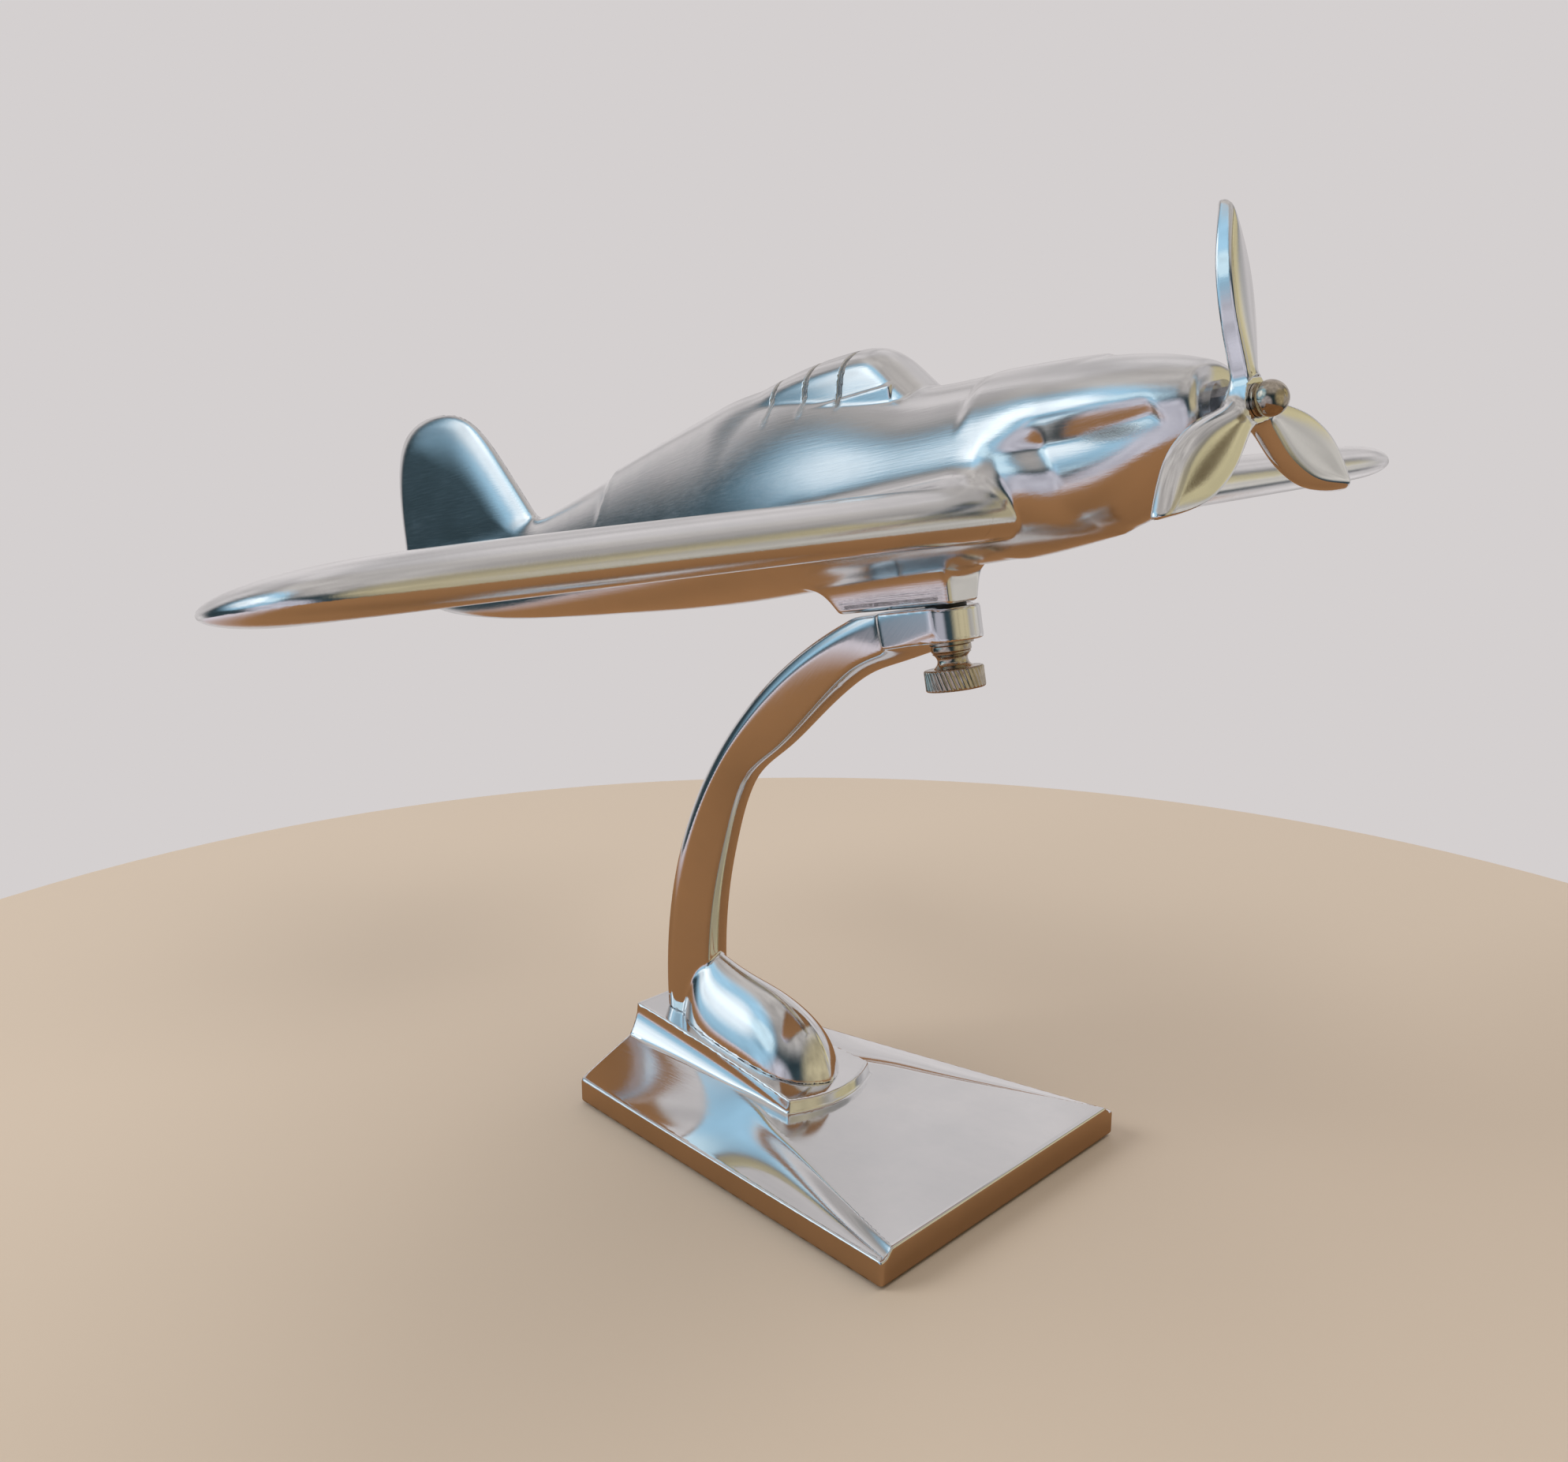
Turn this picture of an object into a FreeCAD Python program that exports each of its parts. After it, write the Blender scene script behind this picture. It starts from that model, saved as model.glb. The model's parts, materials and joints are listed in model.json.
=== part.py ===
import FreeCAD, Part
import math
import os

import Sketcher

from FreeCAD import Placement, Rotation, Vector

# Polished cast-aluminium desk model of a propeller plane on a curved stand.
#
# Frame: millimetres, +Z up, +X to the front of the stand, +Y to port.
# The origin is the centre of the felt that the base rests on.
# Three castings (base, arm, airframe) and a cast propeller are held together by
# machined hardware: two screws under the base, a clamp stud with its thumb nut,
# and a propeller axle with its ball nut.

doc = FreeCAD.newDocument("PropellerPlane")

# ---------------------------------------------------------------- dimensions

DIMENSIONS = {
    # base casting and its felt
    "base_length": 102.6,
    "base_rear_width": 58.8,
    "base_front_width": 84.6,
    "felt_thick": 0.8,
    "felt_inset": 3.0,
    "edge_top": 6.8,
    "rear_crest_top": 13.6,
    "rear_crest_half": 13.0,
    "mid_crest_top": 9.2,
    "mid_crest_half": 20.5,
    "front_crest_top": 7.4,
    "front_crest_half": 38.5,
    # raised seat for the arm, a wedge that rises to the rear
    "seat_front": 1.4,
    "seat_bulge": 4.0,
    "seat_rear_half": 12.0,
    "seat_front_half": 14.5,
    "seat_front_top": 12.2,
    "seat_rear_top": 20.1,
    # screws that hold the arm, from beneath
    "screw_front_at": -14.0,
    "screw_spacing": 20.0,
    "screw_dia": 5.0,
    "screw_clear_dia": 5.5,
    "screw_head_dia": 8.5,
    "screw_head_tall": 3.2,
    "screw_shank": 18.0,
    "cross_long": 4.6,
    "cross_wide": 0.9,
    "cross_deep": 1.8,
    "plain_washer_dia": 10.0,
    "plain_washer_thick": 1.0,
    "counterbore_dia": 11.0,
    "counterbore_top": 6.5,
    # curved arm
    "arm_back_width": 10.6,
    "arm_front_width": 5.0,
    "head_width": 13.6,
    "head_thick": 6.8,
    "head_long": 13.0,
    "head_edge_draft": 0.4,
    "arm_edge_round": 1.4,
    "foot_floor": 8.0,
    # clamp point and attitude of the plane
    "clamp_ahead": 31.6,
    "clamp_height": 125.4,
    "nose_up": 10.6,
    "swivel_at_rest": -6.0,
    # clamp hardware
    "stud_dia": 4.0,
    "stud_in_pylon": 8.5,
    "stud_below": 15.6,
    "running_gap": 0.05,
    "swivel_washer_dia": 8.4,
    "swivel_washer_thick": 0.6,
    "clamp_washer_dia": 9.4,
    "clamp_washer_thick": 0.6,
    "nut_collar_dia": 8.2,
    "nut_collar_tall": 1.6,
    "nut_waist_dia": 6.2,
    "nut_waist_tall": 3.2,
    "nut_disc_dia": 12.2,
    "nut_disc_tall": 4.4,
    "knurl_depth": 0.35,
    "knurl_count": 36,
    # airframe casting, measured from the clamp point along the plane
    "wing_span": 300.0,
    "wing_root_chord": 70.0,
    "wing_tip_chord": 34.0,
    "wing_lead_edge": 33.6,
    "wing_middle_height": 17.2,
    "wing_root_thick": 10.4,
    "wing_tip_thick": 7.6,
    "tip_starts": 0.84,
    "tail_span": 96.0,
    "tail_height": 24.5,
    "tail_root_chord": 46.0,
    "tail_tip_chord": 26.0,
    "tail_lead_edge": -160.0,
    "tail_sweep": 8.0,
    "tail_root_thick": 6.4,
    "tail_tip_thick": 4.8,
    "canopy_axis_height": 30.0,
    "groove_wide": 1.0,
    "groove_hoop_height": 43.0,
    "groove_floor_dia": 17.8,
    "groove_reach": 12.0,
    "groove_ends_at": 43.4,
    "pylon_ahead": 5.2,
    "pylon_behind": 27.5,
    "pylon_top_width": 13.0,
    "pylon_bottom_width": 9.0,
    # propeller group
    "thrust_height": 28.9,
    "nose_face": 67.5,
    "axle_dia": 3.0,
    "axle_in_nose": 15.0,
    "nose_washer_dia": 9.0,
    "nose_washer_thick": 0.8,
    "lock_nut_flats": 5.5,
    "lock_nut_tall": 2.2,
    "hub_thick": 4.0,
    "hub_dia": 8.4,
    "end_float": 0.05,
    "front_washer_dia": 5.8,
    "front_washer_thick": 0.4,
    "ball_dia": 6.0,
    "ball_neck_dia": 5.0,
    "ball_middle": 1.7,
    "blade_count": 3,
    # more than the depth of any wall that is cut right through
    "cut_through": 20.0,
}

sheet = doc.addObject("Spreadsheet::Sheet", "Size")
for row, (alias, amount) in enumerate(DIMENSIONS.items(), start=1):
    sheet.set(f"A{row}", alias)
    sheet.set(f"B{row}", str(amount))
    sheet.setAlias(f"B{row}", alias)
doc.recompute()


def size(expression):
    """Value of an expression in the sheet's aliases, such as Size.stud_dia / 2."""
    return float(sheet.evalExpression(expression))


# Frames: the stand's own, the arm head's (nose-up only) and the plane's (swivelled).
clamp_point = Vector(size("Size.clamp_ahead"), 0, size("Size.clamp_height"))
pitch_up = Rotation(Vector(0, 1, 0), -size("Size.nose_up"))
swivel = Rotation(Vector(0, 0, 1), size("Size.swivel_at_rest"))
STAND = Placement()
HEAD = Placement(clamp_point, pitch_up)
PLANE = Placement(clamp_point, pitch_up * swivel)

# Thrust line: a turned piece's own Z axis laid along the plane's nose direction.
thrust_turn = Rotation(Vector(0, 1, 0), 90)
THRUST = PLANE * Placement(Vector(0, 0, size("Size.thrust_height")), thrust_turn)

parts = {}


# ------------------------------------------------------------------- helpers

def new_body(label, placement):
    body = doc.addObject("PartDesign::Body", label)
    body.Label = label
    body.Placement = placement
    parts[label] = body
    return body


def origin_feature(body, role):
    return next(f for f in body.Origin.OriginFeatures if f.Role == role)


def outline(body, name, plane, points, height="0"):
    """Closed sketch of straight runs whose corners are bound to the sheet.

    points is a list of (across, up) expressions in the plane's own directions.
    """
    sketch = body.newObject("Sketcher::SketchObject", name)
    sketch.AttachmentSupport = (origin_feature(body, plane), [""])
    sketch.MapMode = "FlatFace"
    sketch.AttachmentOffset = Placement(Vector(0, 0, size(height)), Rotation())
    if height != "0":
        sketch.setExpression(".AttachmentOffset.Base.z", height)
    corners = [Vector(size(across), size(up), 0) for across, up in points]
    count = len(corners)
    for i in range(count):
        sketch.addGeometry(Part.LineSegment(corners[i], corners[(i + 1) % count]), False)
    for i in range(count):
        sketch.addConstraint(Sketcher.Constraint("Coincident", i, 2, (i + 1) % count, 1))
    for i, (across, up) in enumerate(points):
        for kind, expression, at in (("DistanceX", across, corners[i].x),
                                     ("DistanceY", up, corners[i].y)):
            index = sketch.addConstraint(Sketcher.Constraint(kind, -1, 1, i, 1, at))
            if "Size." in expression:
                sketch.setExpression(f"Constraints[{index}]", expression)
    return sketch


def turned(label, placement, points):
    """A lathe piece: its half outline, (radius, height) points, turned about its own Z."""
    body = new_body(label, placement)
    sketch = outline(body, label + "_outline", "XZ_Plane", points)
    turn = body.newObject("PartDesign::Revolution", label + "_turning")
    turn.Profile = sketch
    turn.ReferenceAxis = (sketch, ["V_Axis"])
    turn.Angle = 360
    return body


def ring(label, placement, bore, outer, thick, start="0"):
    """A plain washer whose lower face lies at start on its own Z."""
    top = f"{start} + {thick}"
    return turned(label, placement,
                  [(f"{bore} / 2", start), (f"{outer} / 2", start),
                   (f"{outer} / 2", top), (f"{bore} / 2", top)])


def pad(body, sketch, name, length, reverse=False, midplane=False):
    feature = body.newObject("PartDesign::Pad", name)
    feature.Profile = sketch
    feature.setExpression("Length", length)
    feature.Reversed = reverse
    feature.Midplane = midplane
    return feature


def pocket(body, sketch, name, length, reverse):
    """A pocket of given depth; the volume before and after is compared at the end."""
    doc.recompute()
    before = body.Shape.Volume
    feature = body.newObject("PartDesign::Pocket", name)
    feature.Profile = sketch
    feature.setExpression("Length", length)
    feature.Reversed = reverse
    doc.recompute()
    assert body.Shape.Volume < before - 1e-3, name + " cuts nothing"
    return feature


def round_hole(body, name, plane, centre, diameter, depth, height, reverse):
    sketch = body.newObject("Sketcher::SketchObject", name + "_circle")
    sketch.AttachmentSupport = (origin_feature(body, plane), [""])
    sketch.MapMode = "FlatFace"
    sketch.AttachmentOffset = Placement(Vector(0, 0, size(height)), Rotation())
    sketch.setExpression(".AttachmentOffset.Base.z", height)
    across, up = size(centre[0]), size(centre[1])
    middle = Vector(across, up, 0)
    sketch.addGeometry(Part.Circle(middle, Vector(0, 0, 1), size(diameter) / 2), False)
    bound = [(Sketcher.Constraint("DistanceX", -1, 1, 0, 3, across), centre[0]),
             (Sketcher.Constraint("DistanceY", -1, 1, 0, 3, up), centre[1]),
             (Sketcher.Constraint("Diameter", 0, size(diameter)), diameter)]
    for constraint, expression in bound:
        index = sketch.addConstraint(constraint)
        if "Size." in expression:
            sketch.setExpression(f"Constraints[{index}]", expression)
    return pocket(body, sketch, name, depth, reverse)


def closed_curve(points):
    """Wire of one smooth closed curve through the points."""
    curve = Part.BSplineCurve()
    curve.interpolate(Points=points, PeriodicFlag=True)
    return Part.Wire([curve.toShape()])


def around(count):
    """Angles of count even steps round a full turn."""
    return [2 * math.pi * i / count for i in range(count)]


def free_form(label, shape, placement):
    piece = doc.addObject("Part::Feature", label)
    piece.Label = label
    piece.Shape = shape
    piece.Placement = placement
    parts[label] = piece
    return piece


def halfway(low, high, t):
    return low + (high - low) * t


# ------------------------------------------------------- base, felt and seat

SCREWS_AT = ["Size.screw_front_at", "Size.screw_front_at - Size.screw_spacing"]


def plate_section(body, name, station, half_width, crest_half, crest_top):
    """Outline across the plate: flat beneath, straight edges, coved flanks, flat top.

    The cove is drawn by two runs, whose middle point lies below the straight line.
    """
    edge = "Size.edge_top"
    cove_half = f"({half_width} * 0.5 + {crest_half} * 0.5)"
    cove_top = f"({edge} * 0.8 + {crest_top} * 0.2)"
    right = [(half_width, "Size.felt_thick"), (half_width, edge),
             (cove_half, cove_top), (crest_half, crest_top)]
    left = [(f"-{across}", up) for across, up in reversed(right)]
    return outline(body, name, "YZ_Plane", right + left, station)


def make_base_plate():
    body = new_body("base_plate", STAND)
    rear = plate_section(body, "rear_section", "-Size.base_length / 2",
                         "Size.base_rear_width / 2", "Size.rear_crest_half", "Size.rear_crest_top")
    mid_half = "(Size.base_rear_width + Size.base_front_width) / 4"
    middle = plate_section(body, "middle_section", "Size.seat_front",
                           mid_half, "Size.mid_crest_half", "Size.mid_crest_top")
    front = plate_section(body, "front_section", "Size.base_length / 2",
                          "Size.base_front_width / 2", "Size.front_crest_half",
                          "Size.front_crest_top")
    plate = body.newObject("PartDesign::AdditiveLoft", "plate")
    plate.Profile = rear
    plate.Sections = [middle, front]
    plate.Ruled = True
    seat_side = [("-Size.base_length / 2", "Size.felt_thick + 2"),
                 ("Size.seat_front + Size.seat_bulge", "Size.felt_thick + 2"),
                 ("Size.seat_front + Size.seat_bulge", "Size.seat_front_top"),
                 ("-Size.base_length / 2", "Size.seat_rear_top")]
    wedge = outline(body, "seat_side", "XZ_Plane", seat_side)
    pad(body, wedge, "seat_block", "2 * Size.seat_front_half", midplane=True)
    trims = [("starboard", "-1"), ("port", "1")]
    for side, sign in trims:
        rear_half = f"{sign} * Size.seat_rear_half"
        front_half = f"{sign} * Size.seat_front_half"
        beyond = f"{sign} * (Size.seat_front_half + 1)"
        rear_end = "-Size.base_length / 2 - 1"
        front_end = "Size.seat_front + Size.seat_bulge + 1"
        flank = outline(body, side + "_flank", "XY_Plane",
                        [(rear_end, rear_half), ("Size.seat_front", front_half),
                         ("Size.seat_front", beyond), (rear_end, beyond)],
                        "Size.rear_crest_top")
        pocket(body, flank, side + "_flank_trim", "Size.cut_through", True)
        corner = outline(body, side + "_corner", "XY_Plane",
                         [("Size.seat_front", front_half),
                          ("Size.seat_front + Size.seat_bulge", f"{sign} * Size.seat_front_half / 3"),
                          (front_end, f"{sign} * Size.seat_front_half / 3"),
                          (front_end, front_half)],
                         "Size.mid_crest_top")
        pocket(body, corner, side + "_corner_trim", "Size.cut_through", True)
    for number, along in enumerate(SCREWS_AT, start=1):
        round_hole(body, f"counterbore_{number}", "XY_Plane", (along, "0"),
                   "Size.counterbore_dia", "Size.counterbore_top - Size.felt_thick",
                   "Size.felt_thick", True)
        round_hole(body, f"screw_hole_{number}", "XY_Plane", (along, "0"),
                   "Size.screw_clear_dia", "Size.cut_through", "Size.felt_thick", True)
    return body


def make_base_felt():
    body = new_body("base_felt", STAND)
    rear_half = "Size.base_rear_width / 2 - Size.felt_inset"
    front_half = "Size.base_front_width / 2 - Size.felt_inset"
    long_half = "(Size.base_length / 2 - Size.felt_inset)"
    sheet_shape = outline(body, "felt_outline", "XY_Plane",
                          [(f"-{long_half}", f"-({rear_half})"), (long_half, f"-({front_half})"),
                           (long_half, front_half), (f"-{long_half}", rear_half)])
    pad(body, sheet_shape, "felt_sheet", "Size.felt_thick")
    return body


def make_arm_screw(number, along):
    """Pan-head screw with a cross recess, standing head down."""
    label = f"arm_screw_{number}"
    seat = "(Size.counterbore_top - Size.plain_washer_thick)"
    head_low = f"({seat} - Size.screw_head_tall)"
    shank_top = f"({seat} + Size.screw_shank)"
    place = Placement(Vector(size(along), 0, 0), Rotation())
    body = turned(label, place,
                  [("0", head_low), ("Size.screw_head_dia / 2 - 1", head_low),
                   ("Size.screw_head_dia / 2", f"{head_low} + 1"), ("Size.screw_head_dia / 2", seat),
                   ("Size.screw_dia / 2", seat), ("Size.screw_dia / 2", f"{shank_top} - 1"),
                   ("Size.screw_dia / 2 - 1", shank_top), ("0", shank_top)])
    for arm, (across, up) in enumerate([("Size.cross_long", "Size.cross_wide"),
                                        ("Size.cross_wide", "Size.cross_long")]):
        slot = outline(body, f"{label}_slot_{arm}", "XY_Plane",
                       [(f"-{across} / 2", f"-{up} / 2"), (f"{across} / 2", f"-{up} / 2"),
                        (f"{across} / 2", f"{up} / 2"), (f"-{across} / 2", f"{up} / 2")],
                       head_low)
        pocket(body, slot, f"{label}_recess_{arm}", "Size.cross_deep", True)
    return body


# -------------------------------------------------------------- curved arm

# Middle line of the arm in the stand's plane of symmetry, from inside the foot to the
# head: (along, height, slope in degrees, depth across the curve).
ARM_LINE = [
    (-40.0, 12.0, 90, 11.5),
    (-39.6, 34.0, 90, 11.0),
    (-36.4, 54.0, 76, 8.6),
    (-30.6, 71.0, 66, 7.8),
    (-21.6, 85.6, 53, 9.0),
    (-7.2, 100.2, 43, 10.4),
    (8.6, 113.2, 31, 10.0),
    (20.5, 119.8, 12, 7.2),
]

# Foot: (along, top, half width) of each dome across it, front to rear.
FOOT_DOMES = [
    (3.4, 13.6, 3.0),
    (1.6, 17.4, 6.4),
    (-3.0, 22.6, 8.8),
    (-12.0, 28.2, 10.2),
    (-24.0, 32.6, 9.8),
    (-34.0, 35.6, 8.2),
    (-42.0, 33.0, 6.6),
    (-45.6, 27.0, 5.0),
]


def arm_section(along, height, slope, depth, back_width, front_width):
    """Trapezoid across the arm, wider at its back, as a closed wire."""
    angle = math.radians(slope)
    forward = Vector(math.sin(angle), 0, -math.cos(angle))
    middle = Vector(along, 0, height)
    corners = []
    for reach, half in ((-depth / 2, back_width / 2), (depth / 2, front_width / 2)):
        for side in (-1, 1) if reach < 0 else (1, -1):
            corners.append(middle + forward * reach + Vector(0, side * half, 0))
    return Part.makePolygon(corners + corners[:1])


def make_arm():
    back, front = size("Size.arm_back_width"), size("Size.arm_front_width")
    head_width, draft = size("Size.head_width"), size("Size.head_edge_draft")
    sections = []
    for number, (along, height, slope, depth) in enumerate(ARM_LINE):
        toward_head = max(0.0, (number - 4) / (len(ARM_LINE) - 5))
        back_width = halfway(back, head_width - draft, toward_head)
        front_width = halfway(front, head_width - 4 * draft, toward_head ** 2)
        sections.append(arm_section(along, height, slope, depth, back_width, front_width))
    shaft = Part.makeLoft(sections, True, False)
    long_edges = [edge for edge in shaft.Edges if edge.Length > 60]
    shaft = shaft.makeFillet(size("Size.arm_edge_round"), long_edges)
    floor_level = size("Size.foot_floor")
    domes = []
    for along, top, half_width in FOOT_DOMES:
        rise = top - floor_level
        points = [Vector(along, half_width * math.cos(a), floor_level + rise * math.sin(a))
                  for a in around(16)]
        domes.append(closed_curve(points))
    foot = Part.makeLoft(domes, True, False)

    thick, long = size("Size.head_thick"), size("Size.head_long")
    block = Part.makeBox(long, head_width, thick, Vector(-long, -head_width / 2, -thick))
    disc = Part.makeCylinder(head_width / 2, thick, Vector(0, 0, -thick))
    head = block.fuse(disc)
    head.Placement = HEAD
    bore = Part.makeCylinder(size("Size.stud_dia / 2 + Size.running_gap"), thick + 10,
                             Vector(0, 0, -thick - 5))
    bore.Placement = HEAD
    above_head = Part.makeBox(80, 40, 20, Vector(-50, -20, 0))
    above_head.Placement = HEAD

    # Everything below the sloping seat is cut away, so the foot rests on the base.
    half = size("Size.base_length / 2")
    rear_top, front_top = size("Size.seat_rear_top"), size("Size.seat_front_top")
    seat_end = size("Size.seat_front + Size.seat_bulge")
    below = Part.makePolygon([Vector(-half, 0, rear_top), Vector(seat_end, 0, front_top),
                              Vector(seat_end, 0, -20), Vector(-half, 0, -20),
                              Vector(-half, 0, rear_top)])
    below_seat = Part.Face(below).extrude(Vector(0, 60, 0))
    below_seat.translate(Vector(0, -30, 0))

    arm = shaft.fuse([foot, head]).cut(above_head).cut(below_seat).cut(bore)
    for along in SCREWS_AT:
        seat = size("Size.counterbore_top - Size.plain_washer_thick")
        hole = Part.makeCylinder(size("Size.screw_dia / 2"), size("Size.screw_shank + 2"),
                                 Vector(size(along), 0, seat))
        arm = arm.cut(hole)
    return free_form("stand_arm", arm.removeSplitter(), STAND)


# ------------------------------------------------------------ clamp hardware

def make_clamp():
    stud = "Size.stud_dia / 2"
    turned("clamp_stud", PLANE,
           [("0", "-Size.stud_below"), (f"{stud} - 0.5", "-Size.stud_below"),
            (stud, "-Size.stud_below + 0.5"), (stud, "Size.stud_in_pylon - 0.5"),
            (f"{stud} - 0.5", "Size.stud_in_pylon"), ("0", "Size.stud_in_pylon")])
    # The washer turns with the plane, so a film of clearance parts it from the head.
    ring("swivel_washer", PLANE, "Size.stud_dia", "Size.swivel_washer_dia",
         "Size.swivel_washer_thick - Size.running_gap", "Size.running_gap")
    loose_bore = "(Size.stud_dia + 2 * Size.running_gap)"
    ring("clamp_washer", PLANE, loose_bore, "Size.clamp_washer_dia",
         "Size.clamp_washer_thick", "-Size.head_thick - Size.clamp_washer_thick")
    make_thumb_nut(loose_bore)


def make_thumb_nut(bore):
    """Spool-shaped nut: collar, coved waist and knurled disc."""
    top = "(-Size.head_thick - Size.clamp_washer_thick)"
    collar_low = f"({top} - Size.nut_collar_tall)"
    disc_top = f"({collar_low} - Size.nut_waist_tall)"
    disc_low = f"({disc_top} - Size.nut_disc_tall)"
    collar, waist = "Size.nut_collar_dia / 2", "Size.nut_waist_dia / 2"
    disc = "Size.nut_disc_dia / 2"
    body = turned("thumb_nut", PLANE,
                  [(f"{bore} / 2", top), (f"{collar} - 0.3", top), (collar, f"{top} - 0.3"),
                   (collar, f"{collar_low} + 0.3"), (waist, f"{collar_low} - 0.6"),
                   (waist, f"{disc_top} + 0.6"), (f"{waist} + 0.8", disc_top),
                   (f"{disc} - 0.5", disc_top), (disc, f"{disc_top} - 0.5"),
                   (disc, f"{disc_low} + 0.5"), (f"{disc} - 0.5", disc_low),
                   (f"{bore} / 2", disc_low)])
    half_pitch = math.pi * size("Size.nut_disc_dia") / size("Size.knurl_count") / 2 * 0.7
    groove = outline(body, "knurl_outline", "XY_Plane",
                     [("Size.nut_disc_dia / 2 - Size.knurl_depth", "0"),
                      ("Size.nut_disc_dia / 2 + 0.2", f"-{half_pitch:.3f}"),
                      ("Size.nut_disc_dia / 2 + 0.2", f"{half_pitch:.3f}")],
                     f"{disc_low} - 0.1")
    cut = pocket(body, groove, "knurl_groove", "Size.nut_disc_tall + 0.2", True)
    knurl = body.newObject("PartDesign::PolarPattern", "knurl")
    knurl.Originals = [cut]
    knurl.Axis = (origin_feature(body, "Z_Axis"), [""])
    knurl.Angle = 360
    knurl.setExpression("Occurrences", "Size.knurl_count")
    body.Tip = knurl
    return body


# ------------------------------------------------------------ airframe casting

# Fuselage: (along, top, bottom, half width) of each oval section, nose to tail.
FUSELAGE = [
    (67.5, 36.5, 21.3, 7.6),
    (60.0, 39.0, 17.0, 9.8),
    (50.0, 41.0, 11.8, 11.8),
    (40.0, 41.8, 9.7, 13.6),
    (26.0, 42.4, 8.2, 15.6),
    (5.0, 43.2, 7.4, 16.6),
    (-20.0, 44.6, 6.6, 16.2),
    (-50.0, 46.6, 5.2, 14.4),
    (-82.0, 44.0, 4.9, 11.4),
    (-112.0, 38.4, 5.7, 8.6),
    (-142.0, 32.6, 6.7, 6.2),
    (-176.0, 30.6, 8.6, 4.4),
    (-204.0, 30.4, 12.6, 3.2),
    (-213.4, 30.0, 15.0, 2.6),
]

# Canopy and the spine behind it: (along, top, half width), front to rear.
CANOPY = [
    (3.6, 43.6, 4.4),
    (-6.8, 52.4, 6.0),
    (-16.0, 53.4, 6.8),
    (-27.0, 52.9, 6.8),
    (-48.0, 49.6, 6.2),
    (-82.0, 44.2, 4.6),
    (-128.0, 35.4, 3.0),
]

# Rear faces of the canopy's three frame grooves.
GROOVES_AT = [-13.2, -24.2, -35.4]

# Fin: (height, front edge, rear edge, thickness) of each section, root to tip.
FIN = [
    (24.0, -135.0, -213.6, 6.4),
    (34.0, -144.0, -214.4, 6.2),
    (45.0, -152.2, -214.6, 6.0),
    (54.0, -159.6, -213.0, 5.6),
    (61.0, -167.6, -208.2, 5.0),
    (65.6, -176.6, -201.6, 4.0),
    (67.6, -184.6, -193.6, 2.4),
]


def oval(along, top, bottom, half_width):
    middle, reach = (top + bottom) / 2, (top - bottom) / 2
    return closed_curve([Vector(along, half_width * math.cos(a), middle + reach * math.sin(a))
                         for a in around(20)])


def blade_shape(middle, chord, thick, chord_way, thick_way):
    """Egg-shaped section: round at the leading end, thinner toward the trailing end."""
    fullness = 0.45
    points = []
    for a in around(20):
        rise = thick / 2 * math.sin(a) * (1 + fullness * math.cos(a))
        points.append(middle + chord_way * (chord / 2 * math.cos(a)) + thick_way * rise)
    return closed_curve(points)


def make_wing(span, root_chord, tip_chord, lead_edge, sweep, height, root_thick, tip_thick):
    """One panel each side of the middle, with straight taper and an elliptical tip."""
    half_span = span / 2
    tip_starts = size("Size.tip_starts")
    fractions = [0, 0.3, 0.6, tip_starts, 0.93, 0.975, 0.995]
    panels = []
    for side in (-1, 1):
        sections = []
        for t in fractions:
            chord = halfway(root_chord, tip_chord, t)
            thick = halfway(root_thick, tip_thick, t)
            middle_at = lead_edge - root_chord / 2 - sweep * t
            if t > tip_starts:
                rounding = math.sqrt(1 - ((t - tip_starts) / (1.002 - tip_starts)) ** 2)
                chord *= rounding
                thick *= math.sqrt(rounding)
            middle = Vector(middle_at, side * half_span * t, height)
            sections.append(blade_shape(middle, chord, thick, Vector(1, 0, 0), Vector(0, 0, 1)))
        panels.append(Part.makeLoft(sections, True, False))
    return panels


def make_pylon():
    """Boss under the belly that carries the clamp stud, drafted toward its flat bottom."""
    floor_level = size("Size.swivel_washer_thick")
    ahead, behind = size("Size.pylon_ahead"), size("Size.pylon_behind")
    rims = []
    for height, width, front, rear in (
            (floor_level, size("Size.pylon_bottom_width"), ahead, behind),
            (12.0, size("Size.pylon_top_width"), ahead + 1.6, behind + 12.0)):
        half = width / 2
        corners = [Vector(front, -half, height), Vector(front, half, height),
                   Vector(-rear, half, height), Vector(-rear, -half, height)]
        rims.append(Part.makePolygon(corners + corners[:1]))
    pylon = Part.makeLoft(rims, True, True)
    upright = [edge for edge in pylon.Edges
               if abs(edge.Vertexes[0].Z - edge.Vertexes[-1].Z) > 5]
    return pylon.makeFillet(1.6, upright)


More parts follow.
